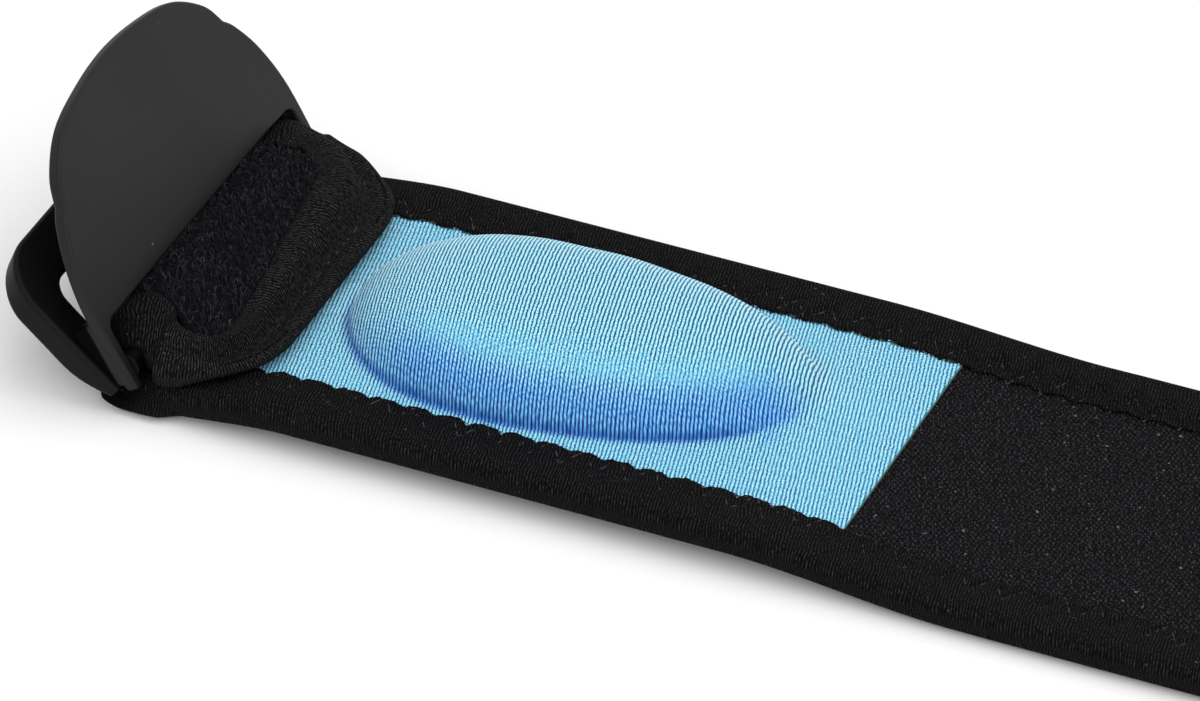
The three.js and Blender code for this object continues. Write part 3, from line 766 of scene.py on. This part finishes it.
def on_flap(s):
    """0 on the run and round the fold, 1 on the flap past the buckle."""
    return smooth(-s, FOLD_ARC - 4, FOLD_ARC + 8)


def edge_shift(s):
    """How far the strap's edge lies off its middle layer."""
    return LIP.edge * lip(s) - slot_puff(s)


def groove_shift(s, v):
    """How far the pile's edge on the flap is shifted, along the strap and across it."""
    d = -s - FOLD_ARC
    along = (GROOVE.slant * v - GROOVE.back) * smooth(d, 0, 9)
    near = smooth(-v, 12, 20) * smooth(d, -12, -4)
    return along, -near * (GROOVE.near + GROOVE.nearer * smooth(d, 0, 9.5))


def tape_face(s, u, inset, face):
    """Height of the binding over the strap's middle: face is 1 on the skin side, -1 outside."""
    outer = face < 0
    flap = on_flap(s)
    edge = face * edge_shift(s)
    rounded = np.sqrt(np.clip(1 - (1 - np.clip(inset / ROLL, 0, 1)) ** ROLL_POWER, 0, 1))
    patched = between(s, COVER.start, COVER.start + 4, COVER.end, COVER.end + 3)
    seat = (SEAT.depth - SEAT.patched * patched) * smooth(inset, 5, BINDING_WIDTH)
    level = LAYER_OUT - np.where(outer, lip_drop(s, inset), seat)
    at_thread = bump_at(np.abs(inset - zigzag(u)) * DENT.lean, 0, DENT.width)
    dent = np.where(outer, DENT.outer, DENT.skin - DENT.patched * patched)
    dent = dent * (1 - flap) * at_thread * smooth(inset, 3.5, 6)
    stitch = np.abs(np.sin(math.pi * u / STITCH_PITCH)) - SWELLING.back
    swollen = SWELLING.rise * stitch * smooth(inset, 5, 8.5) * (1 - flap)
    lifted = np.where(outer, np.minimum(swollen, 0), swollen)
    gathers = wander(u + 0.3 * inset, 2.3, 1.6, 3.7) + 0.7 * wander(u, 9.1, 14.3)
    border = np.sin(math.pi * np.clip((inset - BORDER.start) / BORDER.wide, 0, 1))
    puffed = (BORDER.rise + BORDER.gathers * gathers) * border
    crease = SEAM_CREASE.depth * bump_at(inset, SEAM_INSET, SEAM_CREASE.width)
    raised = outer * (flap * (puffed - crease) + slot_puff(s) * smooth(inset, 0, 4))
    return edge + (level - edge) * rounded - dent + lifted + raised


def edge_binding():
    s_edge, v_edge, out_s, out_v = EDGE.T
    u = EDGE_LENGTH
    flap = on_flap(s_edge)
    stitch = np.abs(np.sin(math.pi * u / STITCH_PITCH)) ** SCALLOP.power
    scallops = SCALLOP.rise * stitch - SCALLOP.back + SCALLOP.ragged * wander(u, 1.9, 3.1, 1.3, 4.7)
    width = BINDING_WIDTH + FLAP_WIDER * flap + scallops * (1 - flap)
    roll = ROLL * (1 - np.cos(np.linspace(0, 1, 8)[1:] * math.pi / 2))
    arm = np.concatenate([roll, np.linspace(ROLL, BINDING_WIDTH, 15)[1:]]) / BINDING_WIDTH
    few = arm[::4]
    inner_start, core_gap = 1.05, 0.08
    in_fold = between(s_edge, -FOLD_ARC - 0.5, -FOLD_ARC + 3, -1, 5)
    bulge = np.clip(FOOT_BULGE - half_width(s_edge), 0, None) * (1 - smooth(np.abs(s_edge), 5, 9))
    rings, flat, deep = [], [], []

    def add(face, inset, n, tape):
        s = s_edge - out_s * inset
        v = v_edge - out_v * inset
        if face < 0:
            along, across = groove_shift(s, v)
            part = (inset / BINDING_WIDTH) ** 2
            s, v = s + along * part, v + across * part
        points = lay(s, v, n)
        low = 1 - smooth(points[:, 2] / MM, 1.4, 2.8)
        points[:, 1] += np.sign(v) * bulge * low * (1 - smooth(inset, 1, 8)) * MM
        rings.append(points)
        # Painted shade for the rolled edge in the fold, kept as the deep value.
        deep.append(in_fold * (1 - smooth(inset, 1.2, 3.4)))
        flat.append(np.stack([u, np.broadcast_to(tape, u.shape)], -1))

    def surface(face, parts, inner):
        for part in parts:
            inset = np.maximum(part * width, inner_start) if inner else part * width
            height = tape_face(s_edge, u, inset, face)
            if inner:
                least = CORE_HALF + core_gap - (lip_drop(s_edge, inset) if face < 0 else 0)
                height = np.maximum(height - TAPE_THICK, least)
            add(face, inset, face * height, face * (part * BINDING_WIDTH + LAYER_OUT))

    surface(1, arm[::-1], False)
    add(1, 0 * u, edge_shift(s_edge), 0.0)
    surface(-1, arm, False)
    surface(-1, few[::-1], True)
    surface(1, few, True)
    piece = new_piece("binding_tape", *loft(np.stack(rings, 1), closed=True), np.stack(flat, 1))
    put_values(piece, "flap", np.repeat(flap, len(rings)))
    put_values(piece, "deep", np.stack(deep, 1))
    return dressed(piece, "binding", "edge_binding")


# The pad, and the stretch cloth over it


def pad_place(s, v):
    """A place in the pad's oval: its radius, 1 at the edge, its direction, and how far along."""
    tilt = math.radians(PAD.tilt)
    a, b = s - PAD.along, v - PAD.across
    long = (a * math.cos(tilt) + b * math.sin(tilt)) / PAD.half_long
    along = np.clip(long, -1, 1)
    wide = b * math.cos(tilt) - a * math.sin(tilt)
    wide = wide / np.where(wide < 0, PAD.half_near, PAD.half_far) / (1 - PAD.narrows * along)
    power = PAD.squareness
    radius = (np.abs(long) ** power + np.abs(wide) ** power) ** (1 / power)
    return radius, np.arctan2(wide, long), along


def dome(s, v):
    """The cover's rise over the pad: a full shoulder, steep sides and softer ends."""
    radius, turn, along = pad_place(s, v)
    outer = smooth(radius, 0.3, 0.9)
    tip = smooth(np.cos(turn), 0.7, 1.0) * outer
    back = smooth(-np.cos(turn), 0.5, 1.0) * outer
    steep, foot, soft = (side + at_tip * tip + at_back * back for side, at_tip, at_back in DOME_EDGE)
    height = (PAD.height + LAYER_OUT - COVER_BASE) * (1 - PAD.falls * along)
    fading = np.exp(-DOME.fade * np.clip(radius - 1, 0, None))
    foot = foot * fading
    over = height * np.clip(1 - radius ** DOME.power, 0, 1) ** steep - foot
    return foot + (over + np.hypot(over, soft * fading)) / 2


def pad_sides(s):
    """The pad's near and far sides on lines across the strap, which never quite meet."""
    axis = PAD.across + (s - PAD.along) * math.tan(math.radians(PAD.tilt))
    sides = []
    for way, half in ((-1, PAD.half_near), (1, PAD.half_far)):
        near, far = 0 * s + 0.2 * half, 0 * s + 1.2 * half
        for _ in range(24):
            middle = (near + far) / 2
            inside = pad_place(s, axis + way * middle)[0] < 1
            near, far = np.where(inside, middle, near), np.where(inside, far, middle)
        sides.append(axis + way * near)
    return sides


def cover_rows(s, half):
    """Places across the cover, close together where the pad's sides are steep."""
    low, high = pad_sides(s)
    inner = np.sin(np.linspace(-1, 1, COVER_GRID.pad + 1) * math.pi / 2)
    outer = np.linspace(0, 1, COVER_GRID.beside + 1)[1:]
    return np.concatenate([
        low + (-half - low) * outer[::-1],
        (low + high + (high - low) * inner) / 2,
        high + (half - high) * outer,
    ], 1)


def cover_shades(s, v, rise):
    """Where the cover is stretched over the pad, with painted shade on the pad's near wall, plainer than
    its ribs, painted shade in the crease at the pad's foot, and cut.
    """
    step = 0.3
    slope_v = (dome(s, v + step) - dome(s, v - step)) / (2 * step)
    slope_s = (dome(s + step, v) - dome(s - step, v)) / (2 * step)
    slope = np.hypot(slope_v, slope_s)
    radius, turn, _ = pad_place(s, v)
    near = smooth(-np.sin(turn), 0.0, 0.5)
    back = smooth(-np.cos(turn), 0.55, 0.95)
    tip = smooth(np.cos(turn), 0.6, 0.92)
    pulled = smooth(slope, 0.45, 1.6) * (1 - 0.3 * smooth(slope, 1.6, 3.2)) * (1 - 0.7 * back)
    # Painted shade: the pad's near wall is darkened, whatever the light.
    painted_wall_shade = near * between(radius, 0.74, 0.94, 0.99, 1.06)
    shoulder = 0.6 * near * (1 - back) * bump_at(slope, 0.55, 0.25)
    # Painted shade where the cover creases in at the pad's foot, on its near side and back.
    at_foot = between(radius, 0.93, 0.99, 1.005, 1.035) * (1 - smooth(rise, 1.0, 2.4))
    round_back = smooth(0.2 * back - np.sin(turn), 0.0, 0.5)
    return {
        # First value: the cloth's own deeper blue where stretched, plus painted shade on the near wall.
        "stretched_and_shaded": np.maximum(pulled * (1 - tip), 0.95 * painted_wall_shade * (1 - back)),
        "shoulder": np.maximum(shoulder, 0.4 * smooth(radius, 1.0, 1.08)),
        # Painted shade in the crease at the pad's foot.
        "crease": 0.8 * round_back * (1 - tip) * at_foot,
        "cut": smooth(s, COVER.end - 0.35, COVER.end - 0.05),
    }


def pad_cover():
    every = COVER_GRID.finer
    cols = every * COVER_GRID.along + 1
    rows = COVER_GRID.pad + 2 * COVER_GRID.beside + 1
    s = np.linspace(COVER.start, COVER.end, cols)[:, None]
    half = half_width(s) - BINDING_WIDTH + COVER.under_binding
    s, v = np.broadcast_arrays(s, cover_rows(s, half))
    slant = RIB_SLANT.back + RIB_SLANT.more * smooth(s, PAD.along, COVER.end)
    across_ribs = s + slant * v
    rise = dome(s, v)
    ridge = RIB_RISE * np.cos(2 * math.pi * across_ribs / RIB_PITCH)
    waves = COVER_WAVES * wander(s + 0.7 * v, 19, 13) * wander(v, 17, 29)
    n = COVER_BASE + rise + ridge + waves
    top = lay(s, v, n)
    under = lay(s, v, n - COVER_THICK)[::every, ::every]
    points = np.concatenate([top.reshape(-1, 3), under.reshape(-1, 3)])
    few_cols, few_rows = under.shape[:2]
    first = cols * rows
    faces = [grid_faces(cols, rows), first + grid_faces(few_cols, few_rows)[:, ::-1]]
    number = np.arange(first).reshape(cols, rows)
    below = first + np.arange(few_cols * few_rows).reshape(few_cols, few_rows)

    def rim(upper, lower, flip):
        many = np.stack([upper[i:len(upper) - every + i:every] for i in range(every + 1)], -1)
        ring = np.concatenate([many, lower[1:, None], lower[:-1, None]], -1)
        faces.append(ring if flip else ring[:, ::-1])

    rim(number[:, 0], below[:, 0], True)
    rim(number[:, -1], below[:, -1], False)
    rim(number[0], below[0], False)
    rim(number[-1], below[-1], True)
    shape = np.stack([across_ribs, v], -1)
    flat = np.concatenate([shape.reshape(-1, 2), shape[::every, ::every].reshape(-1, 2)])
    piece = new_piece("stretch_cover", points, facing_out(points, faces), flat)
    for name, value in cover_shades(s, v, rise).items():
        put_values(piece, name, np.concatenate([value.ravel(), value[::every, ::every].ravel()]))
    return dressed(piece, "stretch", "pad_cover")


def pressure_pad():
    """The foam pad under the cover: a flat-bottomed oval dome."""
    sides, rows, within = 96, 26, 0.93
    turn = np.linspace(0, 2 * math.pi, sides, endpoint=False)
    ring = np.sin(np.linspace(0.02, 1, rows) * math.pi / 2)[:, None] * within
    tilt = math.radians(PAD.tilt)
    cos, sin = (np.sign(x) * np.abs(x) ** (2 / PAD.squareness) for x in (np.cos(turn), np.sin(turn)))
    long = PAD.half_long * ring * cos
    narrowed = 1 - PAD.narrows * ring * cos
    wide = np.where(sin < 0, PAD.half_near, PAD.half_far) * narrowed * ring * sin
    s = PAD.along + long * math.cos(tilt) - wide * math.sin(tilt)
    v = PAD.across + long * math.sin(tilt) + wide * math.cos(tilt)
    top = lay(s, v, np.maximum(COVER_BASE + dome(s, v) - 3 * COVER_THICK, LAYER_IN + 0.2))
    under = lay(s, v, LAYER_IN)[::-1]
    piece = new_piece("foam_pad", *loft(np.concatenate([top, under])))
    return dressed(piece, "foam", "pressure_pad")


# The loop pile on the outer side


def pile_face():
    inset = BINDING_WIDTH + GAP
    start, corner = FLAP_END + inset, FLAP_CORNER - inset
    s = layer_places(start, PILE_END, corner, 0.1)
    half = half_width(s) - inset - corner_narrowing(s - start, corner) + PILE_UNDER * on_flap(s)
    s, v, n = layer_rings(s, half, PILE_BASE, -LAYER_IN, 40, 0.04)
    outer = smooth(-n, -PILE_BASE - 0.2, -PILE_BASE)
    along, across = groove_shift(s, v)
    rings = lay(s + along, v + across, n - outer * pile_puff(s))
    piece = new_piece("pile_cloth", *loft(rings), np.stack([s, v], -1))
    return dressed(piece, "pile", "pile_face")


def pile_loops(name, start, end, count, tall, brushed):
    """Small loops scattered over a stretch of the pile, some of them brushed down."""
    draw = np.random.default_rng(SEED)
    s0 = draw.uniform(start, end, count)
    half = half_width(s0) - BINDING_WIDTH - 0.4
    half = half - corner_narrowing(s0 - FLAP_END - BINDING_WIDTH, FLAP_CORNER - BINDING_WIDTH)
    v0 = draw.uniform(-1, 1, count) * half
    lying = draw.uniform(0, 1, count) < brushed
    turn = np.where(lying, draw.normal(0.9, 0.5, count), draw.uniform(0, 2 * math.pi, count))
    reach = np.where(lying, draw.uniform(0.7, 1.7, count), draw.uniform(0.25, 0.6, count))
    height = tall * draw.uniform(0.55, 1.0, count)
    lean = draw.normal(0, 0.25, (2, count))
    pale = draw.beta(0.5, 3.6, count)
    t = np.linspace(0, 1, 5)
    arch = np.sin(math.pi * t)
    s0, v0, turn, reach, height, lean_s, lean_v = (
        column[:, None] for column in (s0, v0, turn, reach, height, *lean)
    )
    s = s0 + reach * np.cos(turn) * (t - 0.5) + lean_s * arch
    v = v0 + reach * np.sin(turn) * (t - 0.5) + lean_v * arch
    n = PILE_BASE + STRAND_RADIUS - height * arch - pile_puff(s)
    along, across = groove_shift(s, v)
    points, faces = tubes(lay(s + along, v + across, n), STRAND_RADIUS, 3)
    piece = new_piece(name, points, faces)
    put_values(piece, "pale", np.repeat(pale, len(points) // count))
    return dressed(piece, "pile", finish="strands")


# Sewing thread


def thread_piece(name, u, inset, height, radius=THREAD.radius):
    """Stitches along the edge: length along it, distance in from it, and height."""
    s, v, out_s, out_v = on_edge(u)
    lines = lay(s - out_s * inset, v - out_v * inset, height)
    return dressed(new_piece(name, *tubes(lines, radius, 5)), "binding", finish="thread")


def stitches(pitch, t, wanted):
    """The stitches that are wanted: lengths along the edge, places along the strap."""
    u = (np.arange(int(EDGE_LENGTH[-1] / pitch)) + t[:, None]).T * pitch
    s = on_edge(u)[0]
    kept = wanted(s).all(1)
    return u[kept], s[kept]


def thread_arch(t, sunk):
    """How far a stitch stands over the cloth along its length."""
    return THREAD.rise * np.sin(math.pi * t) ** THREAD.power - sunk


def zigzag_seam(name, face):
    t = np.linspace(0.02, 0.98, 9)
    u, s = stitches(STITCH_PITCH / 2, t, lambda s: s > SEAM_START)
    inset = zigzag(u)
    patched = (s > COVER.start) & (s < COVER.end)
    cloth = np.where(patched, COVER_BASE, CORE_HALF) if face > 0 else -PILE_BASE
    tape = tape_face(s, u, inset, face)
    height = tape + (cloth - tape) * smooth(inset, BINDING_WIDTH - 0.2, BINDING_WIDTH + 0.3)
    height = height + thread_arch(t, 0.07)
    if face < 0:
        height = np.minimum(height, LAYER_OUT - THREAD.radius)
    return thread_piece(name, u, inset, face * height)


def flap_seam():
    """The row of straight stitches along the flap's end."""
    t = np.linspace(0.14, 0.86, 7)
    u, s = stitches(FLAP_STITCH, t, lambda s: s < -FOLD_ARC - SEAM_START)
    inset = SEAM_INSET + 0 * u
    height = tape_face(s, u, inset, -1) + thread_arch(t, 0.06)
    return thread_piece("flap_stitches", u, inset, -height)


def tape_fuzz():
    """Short stray fibres along the binding's cut inner edge, over the blue cloth."""
    draw = np.random.default_rng(SEED + 1)
    u0 = draw.uniform(0, EDGE_LENGTH[-1], FUZZ.tries)
    s0 = on_edge(u0)[0]
    u0 = u0[(s0 > COVER.start) & (s0 < COVER.end)]
    reach = draw.uniform(FUZZ.short, FUZZ.long, len(u0))[:, None]
    drift = draw.normal(0, FUZZ.drift, len(u0))[:, None]
    t = np.linspace(0, 1, 4)
    u = u0[:, None] + drift * t
    inset = BINDING_WIDTH - 0.25 + reach * t
    tape = tape_face(on_edge(u)[0], u, 0 * u + BINDING_WIDTH - 0.3, 1)
    height = tape - 0.1 - FUZZ.sag * reach * t**2
    return thread_piece("binding_fibres", u, inset, height, FUZZ.radius)


# The buckle


def spline(points, steps=6):
    """A smooth curve through points, without its first one."""
    p = np.array([points[0], *points, points[-1]], float)
    t = np.linspace(0, 1, steps + 1)[1:, None]
    curve = []
    for a, b, c, d in zip(p, p[1:], p[2:], p[3:]):
        x, y = (c - a) / 2, (d - b) / 2
        curve.append(b + x * t + (3 * (c - b) - 2 * x - y) * t**2 + (2 * (b - c) + x + y) * t**3)
    return np.concatenate(curve)


def arc(x, y, radius, start, end, steps=8):
    """Points on an arc, by angles in degrees."""
    turn = np.radians(np.linspace(start, end, steps + 1))
    return np.stack([x + radius * np.cos(turn), y + radius * np.sin(turn)], -1)


def stand_up(points, tilt):
    """Points in metres of a shape that stands on the bar: across, along it, and through it."""
    turn = math.radians(tilt)
    across = (0, 1, 0)
    along = (-math.cos(turn), 0, math.sin(turn))
    through = (math.sin(turn), 0, math.cos(turn))
    return (points @ np.array([across, along, through]) + np.array([BAR_X, 0, BAR_Z])) * MM


def prism(name, low, high, bevel):
    """A solid between two outlines, standing on the bar as the plate does."""
    points = stand_up(np.concatenate([low, high]), PLATE_TILT)
    count = len(low)
    i = np.arange(count)
    sides = np.stack([i, (i + 1) % count, (i + 1) % count + count, i + count], -1)
    faces = [sides, i[None, ::-1], i[None] + count]
    piece = new_piece(name, points, facing_out(points, faces))
    rim = piece.modifiers.new("rim", "BEVEL")
    rim.width = bevel * MM
    rim.segments = 3
    rim.limit_method = "ANGLE"
    rim.angle_limit = math.radians(50)
    return piece


def side_prism(name, outline, start, end, bevel):
    """A bar with an outline in side view: along and through the plate."""
    ends = [np.column_stack([np.full(len(outline), y), outline]) for y in (start, end)]
    return prism(name, *ends, bevel)


def guard_plate():
    right = [(across, up) for up, across in PLATE_EDGE]
    left = [(-across, up) for across, up in right[-2::-1]]
    head = right[PLATE_KINK:] + left[: len(right) - PLATE_KINK - 1]
    inner, corner, top = LEG.inner, SLOT.corner, SLOT.top
    outline = np.concatenate([
        [(LEG.outer, LEG.foot), right[0]],
        spline(right[: PLATE_KINK + 1]),
        spline(head),
        spline(left[len(right) - PLATE_KINK - 2:]),
        [(-LEG.outer, LEG.foot), (-inner, LEG.foot)],
        arc(corner - inner, top - corner, corner, 180, 90),
        arc(inner - corner, top - corner, corner, 90, 0),
        [(inner, LEG.foot)],
    ])
    half = PLATE_THICK / 2
    ends = [np.column_stack([outline, np.full(len(outline), z)]) for z in (-half, half)]
    return prism("plate", *ends, PLATE_RIM)


def loop_rails():
    """The inner and outer edges of the loop's bars: across, along."""
    half, end, corner = LOOP.half, LOOP.end, LOOP.corner
    inner, top, radius = WINDOW.half, WINDOW.top, WINDOW.corner
    foot, foot_top = WINDOW.foot, WINDOW.foot_top
    low = np.linspace(LOOP.foot, foot_top, 10)
    high = np.linspace(foot_top + 0.05, top - radius, 5)[:-1]
    side = np.concatenate([low, high])
    inside = np.column_stack([np.where(side > foot_top, inner, foot), side])
    outside = np.column_stack([np.full(len(side), half), side])
    inside = np.concatenate([inside, arc(inner - radius, top - radius, radius, 0, 90, 12)])
    outside = np.concatenate([outside, arc(half - corner, end - corner, corner, 0, 90, 12)])
    mirror = np.array([-1, 1])
    return [np.concatenate([rail, rail[::-1] * mirror]) for rail in (inside, outside)]


def loop_bars():
    """The open loop: a rounded section taken along its side bars and end bar."""
    rails = loop_rails()
    rise = []
    for rail in rails:
        left = (LOOP_FOOT.until - rail[:, 1]) / (LOOP_FOOT.until - LOOP.foot)
        rise.append(LOOP_FOOT.rise * np.clip(left, 0, 1) ** LOOP_FOOT.power)
    low = (LOOP.low + sum(rise) / 2)[:, None]
    inside, outside = (rail[:, None] for rail in rails)
    wide = np.linalg.norm(outside - inside, axis=-1)
    high = LOOP.high - low
    xs, ys = [], []
    for at_outside, at_top, start in ((1, 1, 0), (0, 1, 90), (0, 0, 180), (1, 0, 270)):
        turn = arc(0, 0, LOOP_ROUND, start, start + 90, 4)
        xs.append((wide - LOOP_ROUND if at_outside else LOOP_ROUND) + turn[:, 0] + 0 * wide)
        ys.append((high - LOOP_ROUND if at_top else LOOP_ROUND) + turn[:, 1] + 0 * high)
    x, y = np.concatenate(xs, 1), np.concatenate(ys, 1)
    part = x / wide
    place = inside + (outside - inside) * part[..., None]
    at_end = smooth(outside[..., 1], LOOP_UNDERCUT.start, LOOP.end)
    place[..., 1] -= LOOP_UNDERCUT.depth * at_end * part * (1 - y / high)
    rings = stand_up(np.concatenate([place, (low + y)[..., None]], -1), LOOP_TILT)
    return new_piece("loop", *loft(rings))


def buckle():
    plate = guard_plate()
    bar = arc(0, 0, BAR_RADIUS, 0, 360, 32)[:-1]
    reach = LEG.inner + 0.2
    parts = [plate, loop_bars(), side_prism("bar", bar, -reach, reach, 0.01)]
    for side in (-1, 1):
        ends = side * LEG.inner, side * CHEEK_HALF
        parts.append(side_prism("cheek", np.array(CHEEK), *ends, CHEEK_RIM))
    for part in parts[1:]:
        join = plate.modifiers.new("join", "BOOLEAN")
        join.operation = "UNION"
        join.solver = "EXACT"
        join.object = part
    depsgraph = bpy.context.evaluated_depsgraph_get()
    mesh = bpy.data.meshes.new_from_object(plate.evaluated_get(depsgraph))
    for part in parts:
        bpy.data.objects.remove(part)
    mesh.name = "buckle"
    mesh.shade_smooth()
    mesh.set_sharp_from_angle(angle=math.radians(40))
    piece = linked("buckle_moulding", mesh)
    piece.modifiers.new("even", "WEIGHTED_NORMAL").keep_sharp = True
    return dressed(piece, "moulding", "buckle")


# The hook patch under the free end


def hook_patch():
    s = layer_places(HOOK.start, HOOK.end, 0.1, HOOK.corner)
    half = HOOK.half - corner_narrowing(HOOK.end - s, HOOK.corner)
    s, v, n = layer_rings(s, half, -LAYER_IN - HOOK.thick, -LAYER_IN, 24, 0.04)
    piece = new_piece("hook_tape", *loft(lay(s, v, n)))
    return dressed(piece, "hook", "hook_patch")


def hooks():
    """Rows of small bent hooks."""
    pitch, bend = HOOKS.pitch, HOOKS.bend
    s0, v0 = np.meshgrid(
        np.arange(HOOK.start + 2, HOOK.end - 1.5, pitch),
        np.arange(-HOOK.half + 1.5, HOOK.half - 1, pitch),
        indexing="ij",
    )
    past_corner = np.hypot(
        np.clip(s0 - HOOK.end + HOOK.corner, 0, None),
        np.clip(np.abs(v0) - HOOK.half + HOOK.corner, 0, None),
    )
    kept = past_corner < HOOK.corner - HOOKS.margin
    s0, v0 = s0[kept], v0[kept]
    turn = np.linspace(0, 1.25 * math.pi, 7)
    rise = np.concatenate([[0.0], HOOKS.stem + bend * np.sin(turn)])
    out = np.concatenate([[0.0], bend - bend * np.cos(turn)])
    way = np.where(np.arange(len(s0)) % 2, 1, -1)[:, None]
    foot = -LAYER_IN - HOOK.thick + HOOKS.sunk
    lines = lay(s0[:, None] + way * out, v0[:, None] + 0 * out, foot - rise)
    return dressed(new_piece("hook_rows", *tubes(lines, HOOKS.radius)), "hook")


# Floor, light and camera


def stage():
    corners = np.array([(-1, -1, 0), (1, -1, 0), (1, 1, 0), (-1, 1, 0)]) * FLOOR_HALF
    floor = new_piece("floor", corners, [np.array([[0, 1, 2, 3]])])
    floor.location.z = -0.1 * MM
    m = Nodes("pale_floor")
    floor.data.materials.append(m.finish((0.93, 0.93, 0.93), 0.9, Specular_IOR_Level=0.1))
    world = bpy.data.worlds.new("studio")
    world.use_nodes = True
    sky = world.node_tree.nodes["Background"]
    sky.inputs[0].default_value = (1, 1, 1, 1)
    sky.inputs[1].default_value = SKY
    bpy.context.scene.world = world


def aim(thing, at, way):
    thing.location = at
    thing.rotation_euler = way.to_track_quat("-Z", "Y").to_euler()


def softbox(name, at, size, watts):
    data = bpy.data.lights.new(name, "AREA")
    data.shape = "RECTANGLE"
    data.size, data.size_y = size
    data.energy = watts
    aim(linked(name, data), at, Vector(LIT_POINT) - Vector(at))


def camera():
    a, e = math.radians(CAMERA.azimuth), math.radians(CAMERA.elevation)
    back = Vector((math.sin(a) * math.cos(e), -math.cos(a) * math.cos(e), math.sin(e)))
    data = bpy.data.cameras.new("camera")
    data.lens = CAMERA.lens
    data.sensor_width = 36
    data.clip_start, data.clip_end = 0.1, 20
    seer = linked("camera", data)
    aim(seer, (Vector(CAMERA.target) + back * CAMERA.distance) * MM, -back)
    bpy.context.scene.camera = seer


camera()
stage()
for light in LIGHTS:
    softbox(*light)
bpy.context.scene.view_settings.view_transform = "Standard"

strap_core()
edge_binding()
pressure_pad()
pad_cover()
cloth = pile_face()
loops = [
    pile_loops("flap_loops", FLAP_END + BINDING_WIDTH + 0.6, LOOPS_MEET, 7000, 0.75, 0.6),
    pile_loops("under_loops", LOOPS_MEET, PILE_END - 0.6, 6500, 0.4, 0.0),
]
zigzag_seam("skin_seam", 1)
zigzag_seam("outer_seam", -1)
flap_seam()
tape_fuzz()
buckle()
hook_patch()
hooks()
